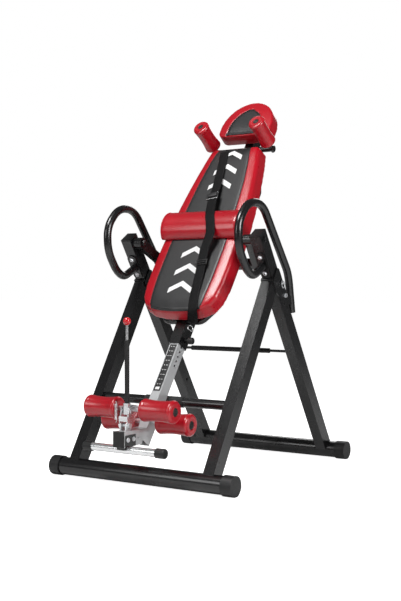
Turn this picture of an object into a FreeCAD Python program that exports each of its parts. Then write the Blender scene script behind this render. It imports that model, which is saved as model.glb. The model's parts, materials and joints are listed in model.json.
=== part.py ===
"""Inversion table: a folding A-frame, a tilting bed, a sliding leg tube and a sprung ankle clamp.

Millimetres, +Z up, X across the table, the user's feet towards -Y.  The origin is on the floor, midway
between the sides and midway between the foremost and rearmost points.
Every piece is its own solid and every node is one STEP file in parts/.
"""
import FreeCAD
import Part
import math
import os

V = FreeCAD.Vector
X_AXIS = V(1, 0, 0)
Z_AXIS = V(0, 0, 1)

# ---------------------------------------------------------------- driving dimensions: A-frame
BASE_HALF = 365.0          # half the length of a floor tube with its caps
BASE_R = 30.0              # floor tube
CAP_R = 33.5               # moulded cap round the floor tube, flattened where it stands
BASE_AXIS_Z = 32.5
CAP_LEN = 40.0
CAP_END = 3.0
SPREAD = 816.0             # floor tube to floor tube
LEG_X = 270.0              # centre plane of both legs of a side
LEG_W = 40.0               # leg tube across X
LEG_D = 50.0               # leg tube along the walking direction
LEG_WALL = 2.0
REAR_TILT = 32.9           # degrees from vertical, leaning forward
FRONT_TILT = 31.75         # degrees from vertical, leaning back
POST_LEN = 951.0           # rear leg from the floor tube's axis to its flat top
PIVOT_DROP = 27.0          # bed pivot below the post top
PIVOT_R = 8.0
HINGE_DROP = 263.8         # fold hinge below the post top, along the post
HINGE_BACK = 15.7          # and behind the post's centre line
HINGE_R = 6.0
RUN_CLEAR = 0.05           # radial clearance of a pin in the part that turns on it
LIMIT_ROD_UP = 455.0       # limiter rod, along the rear leg from the floor tube
SPARE_HOLE_UP = 297.0
ROD_R = 5.0
SPARE_R = 5.4
CROSSBAR_UP = 270.0        # front crossbar, along the front leg from the floor tube
CROSSBAR_BACK = 2.0        # and behind the leg's centre line
CROSSBAR_R = 16.0
STOP_SLEEVE_R = 18.5

# ---------------------------------------------------------------- driving dimensions: bed
BED_TILT = 34.76           # degrees from vertical, head end back
BED_OFFSET = 168.44        # cushion face in front of the front floor tube's axis
CUSHION_T = 58.0
BOARD_T = 12.0
SLEEVE_W = 42.0
SLEEVE_D = 52.0
SLEEVE_WALL = 2.5
SLEEVE_FOOT = 487.0
SLEEVE_HEAD = 1356.0
TUBE_W = 35.0
TUBE_D = 45.0
TUBE_WALL = 2.5
TUBE_FOOT = 118.0
TUBE_TOP = 800.0
HOLE_PITCH = 18.5
RAIL_R = 12.0
ROLLER_R = 37.5
ROLLER_WAIST = 33.5
ROLLER_IN = 47.0
ROLLER_OUT = 174.0
AXLE_R = 8.0
BOOM_W = 40.0
BOOM_LOW = 138.0
BOOM_HIGH = 188.0
BOOM_FRONT = -113.0
FOOT_BAR_R = 13.0
FOOT_BAR_Y = -86.0
FOOT_BAR_Z = 127.5
CLAMP_PIVOT = (-80.0, 204.0)
CLAMP_AXLE = (-47.0, 254.0)
LEVER_PIVOT = (-70.0, 249.0)

BOARD_FACE = -CUSHION_T
TUBE_FACE = -CUSHION_T - BOARD_T
SLEEVE_MID = TUBE_FACE - SLEEVE_D / 2
END_CAP_T = 6.0
FRONT_MOST = BOOM_FRONT - END_CAP_T
REAR_MOST = SPREAD + CAP_R
Y_MID = (FRONT_MOST + REAR_MOST) / 2
PLATE_GAP = 0.3
PLATE_T = 4.0
OUTER_FACE = LEG_X + LEG_W / 2
INNER_FACE = LEG_X - LEG_W / 2
LEG_CUT_GAP = 1.0
COLLAR_T = 2.5
COLLAR_LOW = 733.0
COLLAR_HIGH = 748.0
# corners of a hinge plate: below the post top along the post, and behind its centre line
HINGE_OUTLINE = ((152, 18), (176, -33), (214, -33), (244, -23), (291, 0), (291, 27), (240, 27.5),
                 (162, 27.5))
LOCK_DROP = 207.8
LOCK_BACK = 15.1
LOCK_R = 4.0
LOCK_BODY_R = 6.5
LOCK_BODY_LEN = 3.0
RING_R = 10.5
RING_WIRE = 1.5
HANDLE_BOLT_DROPS = (81.0, 144.0)
HANDLE_HOOK_DROP = 117.0
HANDLE_R = 14.0
BOLT_R = 4.0
HANDLE_PLATE_T = 5.0
# corners of a handle's centre line, back and up, in the plane of the legs
HANDLE_LINE = ((548, 556), (527, 672), (515, 704), (333, 931), (240, 931), (174, 862), (177, 775),
               (226, 707), (268, 683))
TAIL_HOLD_Z = 600.0
LIMIT_SLEEVE_HALF = 170.0
LIMIT_SLEEVE_R = 9.0
STOP_SLEEVE_HALF = 78.0
PIVOT_IN = 214.0
PIVOT_HEAD_R = 12.0
# corners of the cushion's right-hand half, across and along the bed
CUSHION_OUTLINE = ((92, 1314), (106, 1300), (118, 1250), (128, 1195), (140, 1115), (150, 1030), (157, 940),
                   (161, 850), (162, 760), (160, 690), (152, 637), (133, 603), (100, 584),
                   (56, 576), (0, 573))
BOARD_INSET = 20.0
PIN_STATION = 512.0
PIN_R = 4.0
ARM_W = 22.0
ARM_H = 34.0
ARM_LEVEL = TUBE_FACE - 2 * RAIL_R - ARM_W / 2 - 1
BUSH_R = 11.0
PILLOW_MID = 934.0
PILLOW_HALF_WIDTH = 165.0
PILLOW_HALF = 62.0
PILLOW_OUT = 50.0
PILLOW_LOW = 0.5
PILLOW_ARC_R = 70.0
BELT_HALF = 19.0
BELT_T = 2.0
BELT_RISE = 1.9            # belt's middle line outside the roll's arc at its corners
# belt corners on the flat: across, along the bed, out of the cushion face
BELT_ABOVE = ((-40, 1303, 2.5), (2, 1068, 2.5), (19, 1002, 3))
BELT_BELOW = ((58, 866, 3), (60, 773, 2.5), (91, 584, 2.5), (88, 569, -3), (44, 566, -70))
BELT_OVER = ((24, 65), (36, 43.3), (45, 21.7), (51, 0), (55, -21.7), (57, -43.3), (58, -65))
BUCKLE_AT = (7.0, 1052.0)
SLIDER_AT = (61.0, 765.0)
SHOULDER_X = 120.0
SHOULDER_STATION = 1344.0
SHOULDER_ROD_R = 8.0
SHOULDER_TUBE_R = 11.0
SHOULDER_LOW = -27.0
SHOULDER_TOP = 93.0
SHOULDER_R = 29.0
SHOULDER_WAIST = 27.0
HEAD_LOW = 1388.0
HEAD_TOP = 1545.0
HEAD_HALF = 106.0
HEAD_OUT = -13.0
HEAD_T = 52.0
HEAD_BOARD_T = 5.0
REAR_AXLE_STATION = 192.0
REAR_AXLE_OUT = -90.0
STRIP_T = 0.6
STRIP_HALF = 13.5
STRIP_LOW = 300.0
STRIP_TOP = 482.0
HOLE_R = 4.4
BOOM_MID = 161.0
BOOM_BOLTS = (-96.0, -66.0)
BOOM_HOLE_Y = -38.0
FOOT_BAR_HALF = 158.0
FOOT_CAP_R = 16.0
FOOT_CAP_LEN = 34.0
EAR_IN = 9.0
EAR_OUT = 13.0
CLAMP_PIN_R = 5.0
ARM_PLATE_IN = 13.3
ARM_PLATE_OUT = 17.3
LEVER_PIN_R = 4.0
ROLLER_PLUG_R = 14.0
GRIP_R = 8.0
GRIP_LOW = 275.0
GRIP_TOP = 478.0
LEVER_ROD_R = 4.5
BALL_Z = 538.0
BALL_R = 13.0
SPRING_X = -24.0
SPRING_Y = -98.0
SPRING_LOW = 214.0
SPRING_TOP = 282.0
SPRING_R = 5.0
SIDES = (("left", -1), ("right", 1))


# ---------------------------------------------------------------- helpers
def save(node, shapes):
    """Write one node; shapes is a solid or a list of separate solids."""
    solids = shapes if isinstance(shapes, list) else [shapes]
    moved = []
    for solid in solids:
        for piece in solid.Solids:
            part = piece.copy()
            part.translate(V(0, -Y_MID, 0))
            moved.append(part)
    shape = moved[0] if len(moved) == 1 else Part.makeCompound(moved)
    shape.exportStep("parts/" + node + ".step")


def box(x0, x1, y0, y1, z0, z1):
    return Part.makeBox(x1 - x0, y1 - y0, z1 - z0, V(x0, y0, z0))


def rod_x(x0, x1, y, z, r):
    low, high = min(x0, x1), max(x0, x1)
    return Part.makeCylinder(r, high - low, V(low, y, z), X_AXIS)


def rod_z(x, y, z0, z1, r):
    return Part.makeCylinder(r, z1 - z0, V(x, y, z0), Z_AXIS)


def fused(*shapes):
    whole = shapes[0]
    for shape in shapes[1:]:
        whole = whole.fuse(shape)
    return whole.removeSplitter()


def pipe(points, r, bend):
    """A round bar along straight runs joined by tangent arcs of radius bend."""
    edges = []
    start = points[0]
    for i in range(1, len(points) - 1):
        corner = points[i]
        back = (points[i - 1] - corner).normalize()
        ahead = (points[i + 1] - corner).normalize()
        half = back.getAngle(ahead) / 2
        reach = bend / math.tan(half)
        first = corner + back * reach
        last = corner + ahead * reach
        mid_dir = (back + ahead).normalize()
        middle = corner + mid_dir * (bend / math.sin(half) - bend)
        edges.append(Part.LineSegment(start, first).toShape())
        edges.append(Part.Arc(first, middle, last).toShape())
        start = last
    edges.append(Part.LineSegment(start, points[-1]).toShape())
    path = Part.Wire(edges)
    direction = points[1] - points[0]
    section = Part.Wire(Part.makeCircle(r, points[0], direction))
    return path.makePipeShell([section], True, False)


def prism(outline, axis_points, low, high):
    """Extrude a closed outline of 2-D points from low to high along the axis left out."""
    corners = [axis_points(a, b, low) for a, b in outline]
    corners.append(corners[0])
    face = Part.Face(Part.makePolygon(corners))
    step = axis_points(0, 0, high) - axis_points(0, 0, low)
    return face.extrude(step)


def plate_yz(outline, x0, x1):
    return prism(outline, lambda y, z, x: V(x, y, z), min(x0, x1), max(x0, x1))


def tilted(shape, y, z, degrees):
    """Turn a shape made about the origin about X, then carry it to (y, z)."""
    part = shape.copy()
    part.rotate(V(0, 0, 0), X_AXIS, degrees)
    part.translate(V(0, y, z))
    return part


def on_rear(shape):
    """Local Z runs up the rear leg from the rear floor tube's axis, local Y points back."""
    return tilted(shape, SPREAD, BASE_AXIS_Z, REAR_TILT)


def on_front(shape):
    """Local Z runs up the front leg from the front floor tube's axis, local Y points back."""
    return tilted(shape, 0, BASE_AXIS_Z, -FRONT_TILT)


def on_bed(shape):
    """Local Y is the station along the bed, local Z stands out of the cushion face."""
    lean = math.radians(BED_TILT)
    return tilted(shape, -BED_OFFSET * math.cos(lean), BED_OFFSET * math.sin(lean), 90 - BED_TILT)


def rear_point(x, back, up):
    angle = math.radians(REAR_TILT)
    y = SPREAD + back * math.cos(angle) - up * math.sin(angle)
    z = BASE_AXIS_Z + back * math.sin(angle) + up * math.cos(angle)
    return V(x, y, z)


def bed_point(x, station, out):
    lean = math.radians(BED_TILT)
    reach = BED_OFFSET + out
    y = station * math.sin(lean) - reach * math.cos(lean)
    z = station * math.cos(lean) + reach * math.sin(lean)
    return V(x, y, z)


def hollow_box(width, depth, z0, z1, wall):
    outer = box(-width / 2, width / 2, -depth / 2, depth / 2, z0, z1)
    inner = box(-width / 2 + wall, width / 2 - wall, -depth / 2 + wall, depth / 2 - wall, z0 - 1, z1 + 1)
    return outer.cut(inner)


def round_edges(shape, radius, picks):
    edges = [edge for edge in shape.Edges if picks(edge)]
    return shape.makeFillet(radius, edges)


def along_z(edge):
    """True for a straight edge parallel to Z."""
    if len(edge.Vertexes) != 2:
        return False
    run = edge.Vertexes[1].Point - edge.Vertexes[0].Point
    return run.Length > 1 and abs(abs(run.normalize().z) - 1) < 0.001


# ---------------------------------------------------------------- shared positions
HINGE = rear_point(0, HINGE_BACK, POST_LEN - HINGE_DROP)
PIVOT = rear_point(0, 0, POST_LEN - PIVOT_DROP)


def bed_coordinates(point):
    """Station along the bed and height out of the cushion face of a point in space."""
    lean = math.radians(BED_TILT)
    station = point.y * math.sin(lean) + point.z * math.cos(lean)
    out = point.z * math.sin(lean) - point.y * math.cos(lean) - BED_OFFSET
    return station, out


PIVOT_STATION, PIVOT_PROUD = bed_coordinates(PIVOT)


# ---------------------------------------------------------------- A-frame
def base_tube(y):
    tube = rod_x(-BASE_HALF + CAP_END, BASE_HALF - CAP_END, y, BASE_AXIS_Z, BASE_R)
    bore = rod_x(-BASE_HALF, BASE_HALF, y, BASE_AXIS_Z, BASE_R - LEG_WALL)
    return tube.cut(bore)


def base_cap(side, y):
    outer = rod_x(side * (BASE_HALF - CAP_LEN), side * BASE_HALF, y, BASE_AXIS_Z, CAP_R)
    socket = rod_x(side * (BASE_HALF - CAP_LEN - 1), side * (BASE_HALF - CAP_END), y, BASE_AXIS_Z, BASE_R)
    cap = outer.cut(socket)
    below = box(-BASE_HALF - 1, BASE_HALF + 1, y - CAP_R, y + CAP_R, -CAP_R, 0)
    return cap.cut(below)


def rear_leg(side):
    leg = hollow_box(LEG_W, LEG_D, 0, POST_LEN - END_CAP_T, LEG_WALL)
    leg.translate(V(side * LEG_X, 0, 0))
    x0, x1 = side * LEG_X - LEG_W, side * LEG_X + LEG_W
    for up, back, r in ((POST_LEN - PIVOT_DROP, 0, PIVOT_R), (POST_LEN - HINGE_DROP, HINGE_BACK, HINGE_R)):
        leg = leg.cut(rod_x(x0, x1, back, up, r))
    for up, r in ((LIMIT_ROD_UP, ROD_R), (SPARE_HOLE_UP, SPARE_R)):
        leg = leg.cut(rod_x(side * (INNER_FACE - LEG_WALL), side * LEG_X, 0, up, r))
    for drop in HANDLE_BOLT_DROPS:
        front = V(side * LEG_X, -LEG_D / 2 - 1, POST_LEN - drop)
        hole = Part.makeCylinder(BOLT_R, LEG_D / 2, front, V(0, 1, 0))
        leg = leg.cut(hole)
    leg = on_rear(leg)
    return leg.cut(rod_x(-BASE_HALF, BASE_HALF, SPREAD, BASE_AXIS_Z, BASE_R))


def post_cap(side):
    cap = box(-LEG_W / 2, LEG_W / 2, -LEG_D / 2, LEG_D / 2, POST_LEN - END_CAP_T, POST_LEN)
    inset = LEG_WALL + 0.1
    plug = box(-LEG_W / 2 + inset, LEG_W / 2 - inset, -LEG_D / 2 + inset, LEG_D / 2 - inset,
               POST_LEN - END_CAP_T - 8, POST_LEN - END_CAP_T)
    cap = fused(cap, plug)
    cap.translate(V(side * LEG_X, 0, 0))
    return on_rear(cap)


def front_leg(side):
    leg = hollow_box(LEG_W, LEG_D, 0, 800, LEG_WALL)
    leg.translate(V(side * LEG_X, 0, 0))
    leg = on_front(leg)
    leg = leg.cut(rod_x(-BASE_HALF, BASE_HALF, 0, BASE_AXIS_Z, BASE_R))
    return leg.cut(behind_post_face(LEG_CUT_GAP))


def behind_post_face(gap):
    """Everything from gap in front of the posts' front face backwards, and above."""
    reach = 1200
    block = box(-reach, reach, -LEG_D / 2 - gap, reach, -reach, 2 * reach)
    return on_rear(block)


def leg_collar(side):
    """Moulded band round the slanted top of a front leg."""
    width, depth = LEG_W + 2 * COLLAR_T, LEG_D + 2 * COLLAR_T
    block = box(-width / 2, width / 2, -depth / 2, LEG_D / 2, COLLAR_LOW, COLLAR_HIGH)
    core = box(-LEG_W / 2, LEG_W / 2, -LEG_D / 2, LEG_D, COLLAR_LOW - 1, COLLAR_HIGH + 1)
    band = block.cut(core)
    band.translate(V(side * LEG_X, 0, 0))
    band = on_front(band).cut(behind_post_face(LEG_CUT_GAP + 0.2))
    for face, outward in ((OUTER_FACE, 1), (INNER_FACE, -1)):
        room = plate_yz(hinge_corners(), side * face, side * (face + 2 * outward * COLLAR_T))
        band = band.cut(room)
    return band


def hinge_corners():
    points = [rear_point(0, back, POST_LEN - drop) for drop, back in HINGE_OUTLINE]
    return [(point.y, point.z) for point in points]


def hinge_plate(side, face, outward):
    """Plate beside both legs, welded to the front leg, turning on the hinge bolt."""
    low = side * (face + outward * PLATE_GAP)
    high = low + side * outward * PLATE_T
    plate = plate_yz(hinge_corners(), low, high)
    plate = plate.cut(rod_x(low - 50, high + 50, HINGE.y, HINGE.z, HINGE_R + RUN_CLEAR))
    lock = rear_point(0, LOCK_BACK, POST_LEN - LOCK_DROP)
    return plate.cut(rod_x(low - 50, high + 50, lock.y, lock.z, LOCK_R + RUN_CLEAR))


def weld_pad(side, face, outward):
    """Weld between a hinge plate and the front leg's side, so that the two are one frame."""
    pad = plate_yz(hinge_corners(), side * face, side * (face + outward * PLATE_GAP))
    leg_side = on_front(box(-400, 400, -LEG_D / 2 + 1, LEG_D / 2 - 1, 0, 900))
    return pad.common(leg_side).cut(behind_post_face(LEG_CUT_GAP + 1))


def lock_pin(side):
    lock = rear_point(0, LOCK_BACK, POST_LEN - LOCK_DROP)
    inner = OUTER_FACE + PLATE_GAP + 0.2
    plate_out = OUTER_FACE + PLATE_GAP + PLATE_T
    eye = plate_out + LOCK_BODY_LEN + 3
    pin = rod_x(side * inner, side * (eye + 2), lock.y, lock.z, LOCK_R)
    collar = rod_x(side * (plate_out + LOCK_BODY_LEN + 0.3), side * eye, lock.y, lock.z, LOCK_R + 2)
    ring = Part.makeTorus(RING_R, RING_WIRE, V(side * (eye + 2.5), lock.y, lock.z - RING_R + 1), X_AXIS)
    return fused(pin, collar, ring)


def lock_body(side):
    lock = rear_point(0, LOCK_BACK, POST_LEN - LOCK_DROP)
    plate_out = OUTER_FACE + PLATE_GAP + PLATE_T
    body = rod_x(side * plate_out, side * (plate_out + LOCK_BODY_LEN), lock.y, lock.z, LOCK_BODY_R)
    bore = rod_x(side * (plate_out - 9), side * (plate_out + 20), lock.y, lock.z, LOCK_R + RUN_CLEAR)
    return body.cut(bore)


def hinge_bolt(side):
    inner = INNER_FACE - PLATE_GAP - PLATE_T
    outer = OUTER_FACE + PLATE_GAP + PLATE_T
    shank = rod_x(side * (inner - 7), side * (outer + 1), HINGE.y, HINGE.z, HINGE_R)
    head = rod_x(side * (outer + 0.5), side * (outer + 6.5), HINGE.y, HINGE.z, 9.5)
    nut = rod_x(side * (inner - 7.5), side * (inner - 0.5), HINGE.y, HINGE.z, 9.5)
    return fused(shank, head, nut)


def handle_tube(side):
    """Bent tube: cut end behind the rear leg, up, round the loop, and back to the post's front face."""
    hook = rear_point(0, -LEG_D / 2 - HANDLE_PLATE_T, POST_LEN - HANDLE_HOOK_DROP)
    points = [V(side * LEG_X, y, z) for y, z in HANDLE_LINE]
    points.append(V(side * LEG_X, hook.y, hook.z))
    return bent(points, HANDLE_R).cut(behind_plate())


def behind_plate():
    """The space behind a handle plate's front face, near the hook only."""
    block = box(-400, 400, -LEG_D / 2 - HANDLE_PLATE_T, 0, POST_LEN - 170, POST_LEN - 60)
    return on_rear(block)


def bent(points, r):
    """A round bar whose every bend is as large as its two runs allow."""
    edges = []
    start = points[0]
    for i in range(1, len(points) - 1):
        corner = points[i]
        back = points[i - 1] - corner
        ahead = points[i + 1] - corner
        run = min(back.Length, ahead.Length) * 0.45
        back.normalize()
        ahead.normalize()
        half = back.getAngle(ahead) / 2
        radius = run * math.tan(half)
        first = corner + back * run
        last = corner + ahead * run
        middle = corner + (back + ahead).normalize() * (radius / math.sin(half) - radius)
        edges.append(Part.LineSegment(start, first).toShape())
        edges.append(Part.Arc(first, middle, last).toShape())
        start = last
    edges.append(Part.LineSegment(start, points[-1]).toShape())
    path = Part.Wire(edges)
    section = Part.Wire(Part.makeCircle(r, points[0], points[1] - points[0]))
    return path.makePipeShell([section], True, False)


def handle_plate(side):
    plate = box(-18, 18, -LEG_D / 2 - HANDLE_PLATE_T, -LEG_D / 2, POST_LEN - 162, POST_LEN - 66)
    plate = round_edges(plate, 14, lambda e: abs(e.CenterOfMass.z - (POST_LEN - 114)) > 40
                        and abs(e.CenterOfMass.x) > 17.5 and abs(e.Length - HANDLE_PLATE_T) < 0.1)
    plate.translate(V(side * LEG_X, 0, 0))
    for drop in HANDLE_BOLT_DROPS:
        hole = Part.makeCylinder(BOLT_R, 20, V(side * LEG_X, -LEG_D / 2 - 10, POST_LEN - drop), V(0, 1, 0))
        plate = plate.cut(hole)
    return on_rear(plate)


def handle_bolt(side, drop):
    face = -LEG_D / 2 - HANDLE_PLATE_T
    start = V(side * LEG_X, face, POST_LEN - drop)
    shank = Part.makeCylinder(BOLT_R, HANDLE_PLATE_T + 10, start, V(0, 1, 0))
    head = Part.makeCylinder(8, 5, V(side * LEG_X, face - 5, POST_LEN - drop), V(0, 1, 0))
    socket = Part.makeCylinder(3, 3, V(side * LEG_X, face - 6, POST_LEN - drop), V(0, 1, 0))
    return on_rear(fused(shank, head).cut(socket))


def handle(side):
    """The bent tube with its bolted plate and the block that holds its tail."""
    return fused(handle_tube(side), handle_plate(side), handle_bracket(side))


def handle_bracket(side):
    """Block between the rear leg's back face and the handle's tail."""
    tail_y = HANDLE_LINE[0][0] - 8
    block = box(side * LEG_X - 9, side * LEG_X + 9, 400, tail_y, TAIL_HOLD_Z - 15, TAIL_HOLD_Z + 15)
    leg = on_rear(box(-400, 400, -LEG_D, LEG_D / 2, 0, POST_LEN))
    return block.cut(leg)


def limiter_rod():
    """Rod through the inner wall of each rear leg, its ends inside them."""
    end = OUTER_FACE - LEG_WALL - 1
    return rod_x(-end, end, 0, LIMIT_ROD_UP, ROD_R)


def limiter_sleeve():
    foam = rod_x(-LIMIT_SLEEVE_HALF, LIMIT_SLEEVE_HALF, 0, LIMIT_ROD_UP, LIMIT_SLEEVE_R)
    return foam.cut(rod_x(-OUTER_FACE, OUTER_FACE, 0, LIMIT_ROD_UP, ROD_R))


def stop_sleeve():
    sleeve = rod_x(-STOP_SLEEVE_HALF, STOP_SLEEVE_HALF, CROSSBAR_BACK, CROSSBAR_UP, STOP_SLEEVE_R)
    return sleeve.cut(rod_x(-INNER_FACE, INNER_FACE, CROSSBAR_BACK, CROSSBAR_UP, CROSSBAR_R))


def pivot_bolt(side):
    shank = rod_x(side * (PIVOT_IN - 1), side * (OUTER_FACE + 1), PIVOT.y, PIVOT.z, PIVOT_R)
    head = rod_x(side * OUTER_FACE, side * (OUTER_FACE + 7), PIVOT.y, PIVOT.z, PIVOT_HEAD_R)
    tip = rod_x(side * (PIVOT_IN - 9), side * (PIVOT_IN - 1), PIVOT.y, PIVOT.z, PIVOT_HEAD_R)
    return fused(shank, head, tip)


def hinge_plates(side):
    """The outer and inner plates of one side."""
    plates = []
    for face, outward in ((OUTER_FACE, 1), (INNER_FACE, -1)):
        plates.append(fused(hinge_plate(side, face, outward), weld_pad(side, face, outward)))
    return plates


def a_frame():
    save("rear_base_tube", base_tube(SPREAD))
    save("rear_base_caps", [base_cap(side, SPREAD) for _, side in SIDES])
    save("front_base_tube", base_tube(0))
    save("front_base_caps", [base_cap(side, 0) for _, side in SIDES])
    for name, side in SIDES:
        save("fold_hinge_plates_" + name, hinge_plates(side) + [lock_body(side)])
        save("fold_lock_pin_" + name, lock_pin(side))
        save("handle_" + name, handle(side))
    save("rear_legs", [rear_leg(side) for _, side in SIDES])
    save("front_legs", [front_leg(side) for _, side in SIDES])
    save("post_caps", [post_cap(side) for _, side in SIDES])
    save("handle_bolts", [handle_bolt(side, drop) for _, side in SIDES for drop in HANDLE_BOLT_DROPS])
    save("front_leg_collars", [leg_collar(side) for _, side in SIDES])
    save("fold_hinge_bolts", [hinge_bolt(side) for _, side in SIDES])
    save("front_crossbar", on_front(rod_x(-INNER_FACE, INNER_FACE, CROSSBAR_BACK, CROSSBAR_UP, CROSSBAR_R)))
    save("crossbar_stop_sleeve", on_front(stop_sleeve()))
    save("limiter_rod", on_rear(limiter_rod()))
    save("limiter_sleeve", on_rear(limiter_sleeve()))
    save("pivot_bolts", [pivot_bolt(side) for _, side in SIDES])


# ---------------------------------------------------------------- bed


def outline_face(points, inset, level):
    """Symmetric face in the bed plane from its right-hand outline."""
    right = [V(max(x - inset, 0), y + (inset if y < 800 else -inset), level) for x, y in points]
    left = [V(-p.x, p.y, p.z) for p in reversed(right) if p.x > 0]
    corners = right + left
    corners.append(corners[0])
    return Part.Face(Part.makePolygon(corners))


def cushion():
    body = outline_face(CUSHION_OUTLINE, 0, BOARD_FACE).extrude(V(0, 0, CUSHION_T))
    return round_edges(body, 14, lambda e: e.BoundBox.ZMin > -0.01)


def backboard():
    return outline_face(CUSHION_OUTLINE, BOARD_INSET, TUBE_FACE).extrude(V(0, 0, BOARD_T))


def bed_tube(width, depth, wall, foot, head):
    outer = box(-width / 2, width / 2, foot, head, SLEEVE_MID - depth / 2, SLEEVE_MID + depth / 2)
    inner = box(-width / 2 + wall, width / 2 - wall, foot - 1, head + 1,
                SLEEVE_MID - depth / 2 + wall, SLEEVE_MID + depth / 2 - wall)
    return outer.cut(inner)


def sleeve_tube():
    """Sleeve with the welded boss that guides the height pin."""
    tube = bed_tube(SLEEVE_W, SLEEVE_D, SLEEVE_WALL, SLEEVE_FOOT, SLEEVE_HEAD)
    boss = rod_x(SLEEVE_W / 2, SLEEVE_W / 2 + 10, PIN_STATION, SLEEVE_MID, 10)
    return fused(tube, boss).cut(rod_x(0, 60, PIN_STATION, SLEEVE_MID, PIN_R + RUN_CLEAR))


def height_pin():
    inner = SLEEVE_W / 2 - SLEEVE_WALL + 0.3
    face = SLEEVE_W / 2 + 10.5
    shank = rod_x(inner, face + 6, PIN_STATION, SLEEVE_MID, PIN_R)
    neck = rod_x(face, face + 6, PIN_STATION, SLEEVE_MID, 7)
    knob = rod_x(face + 6, face + 24, PIN_STATION, SLEEVE_MID, 12)
    knob = round_edges(knob, 3, lambda e: len(e.Vertexes) == 1)
    return fused(shank, neck, knob)


def back_rail(side):
    level = TUBE_FACE - RAIL_R
    points = ((SLEEVE_W / 2, 583), (72, 583), (112, 640), (112, 1150), (72, 1275), (SLEEVE_W / 2, 1275))
    return pipe([V(side * x, y, level) for x, y in points], RAIL_R, 30)


def pivot_arm(side):
    """Flat tube from the sleeve's side, out behind the rail, then forward to the pivot boss."""
    half = ARM_W / 2
    run = ((SLEEVE_W / 2, ARM_LEVEL), (196, ARM_LEVEL), (231, PIVOT_PROUD))
    lean = math.atan2(run[2][1] - run[1][1], run[2][0] - run[1][0])
    dx, dz = half * math.sin(lean), half * math.cos(lean)
    shift = half * 0.6
    outline = ((run[0][0], ARM_LEVEL + half), (run[1][0] - shift - 3, ARM_LEVEL + half),
               (run[2][0] - dx, run[2][1] + dz), (run[2][0] + dx, run[2][1] - dz),
               (run[1][0] + shift, ARM_LEVEL - half), (run[0][0], ARM_LEVEL - half))
    arm = prism([(side * x, z) for x, z in outline],
                lambda x, z, y: V(x, y, z), PIVOT_STATION - ARM_H / 2, PIVOT_STATION + ARM_H / 2)
    boss = rod_x(side * (PIVOT_IN + 0.3), side * (INNER_FACE - 0.5), PIVOT_STATION, PIVOT_PROUD, 19)
    arm = fused(arm, boss)
    return arm.cut(rod_x(-400, 400, PIVOT_STATION, PIVOT_PROUD, BUSH_R))


def pivot_bush(side):
    bush = rod_x(side * (PIVOT_IN + 0.3), side * (INNER_FACE - 0.5), PIVOT_STATION, PIVOT_PROUD, BUSH_R)
    return bush.cut(rod_x(-400, 400, PIVOT_STATION, PIVOT_PROUD, PIVOT_R + RUN_CLEAR))


def pillow():
    """Half-round roll lying on the cushion."""
    low = V(-PILLOW_HALF_WIDTH, PILLOW_MID - PILLOW_HALF, PILLOW_LOW)
    high = V(-PILLOW_HALF_WIDTH, PILLOW_MID + PILLOW_HALF, PILLOW_LOW)
    low_up = V(-PILLOW_HALF_WIDTH, PILLOW_MID - PILLOW_HALF, PILLOW_LOW + 12)
    high_up = V(-PILLOW_HALF_WIDTH, PILLOW_MID + PILLOW_HALF, PILLOW_LOW + 12)
    crest = V(-PILLOW_HALF_WIDTH, PILLOW_MID, PILLOW_OUT)
    edges = [Part.LineSegment(high, low).toShape(), Part.LineSegment(low, low_up).toShape(),
             Part.Arc(low_up, crest, high_up).toShape(), Part.LineSegment(high_up, high).toShape()]
    roll = Part.Face(Part.Wire(edges)).extrude(V(2 * PILLOW_HALF_WIDTH, 0, 0))
    return round_edges(roll, 6, lambda e: e.BoundBox.ZMax > PILLOW_OUT - 1 and e.BoundBox.XLength < 0.1)


def belt():
    """Flat webbing in straight runs over the cushion and the roll, and round the cushion's lower edge."""
    centre = PILLOW_OUT - PILLOW_ARC_R
    line = list(BELT_ABOVE)
    for x, degrees in BELT_OVER:
        angle = math.radians(degrees)
        reach = PILLOW_ARC_R + BELT_RISE
        line.append((x, PILLOW_MID + reach * math.sin(angle), centre + reach * math.cos(angle)))
    line = line + list(BELT_BELOW)
    runs = [strap_run(V(*start), V(*end)) for start, end in zip(line[:-1], line[1:])]
    return fused(*runs)


def strap_run(start, end):
    side = V(BELT_HALF, 0, 0)
    run = end - start
    normal = V(0, run.z, -run.y)
    lift = normal.normalize() * BELT_T
    corners = [start - side, start + side, end + side, end - side]
    bottom = Part.Face(Part.makePolygon(corners + [corners[0]]))
    return bottom.extrude(lift)


def buckle():
    x, y = BUCKLE_AT
    plate = box(x - 22, x + 22, y - 15, y + 15, 5.5, 13)
    return round_edges(plate, 3, lambda e: e.BoundBox.ZMin > 12.9)


def slider():
    x, y = SLIDER_AT
    return box(x - 23, x + 23, y - 8, y + 8, 5, 8)


def d_ring():
    """Ring at the belt's lower end, hanging beside the sleeve."""
    return Part.makeTorus(9, 1.8, V(34, 555, -84), V(1, 0, 0.4))


def shoulder_frame():
    """Cross tube on the sleeve's face with a rod standing up at each end."""
    level = TUBE_FACE + SHOULDER_TUBE_R
    tube = rod_x(-SHOULDER_X - 10, SHOULDER_X + 10, SHOULDER_STATION, level, SHOULDER_TUBE_R)
    for _, side in SIDES:
        rod = rod_z(side * SHOULDER_X, SHOULDER_STATION, TUBE_FACE - 3, SHOULDER_TOP - 8, SHOULDER_ROD_R)
        tube = tube.fuse(rod)
    return tube.removeSplitter()


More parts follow.
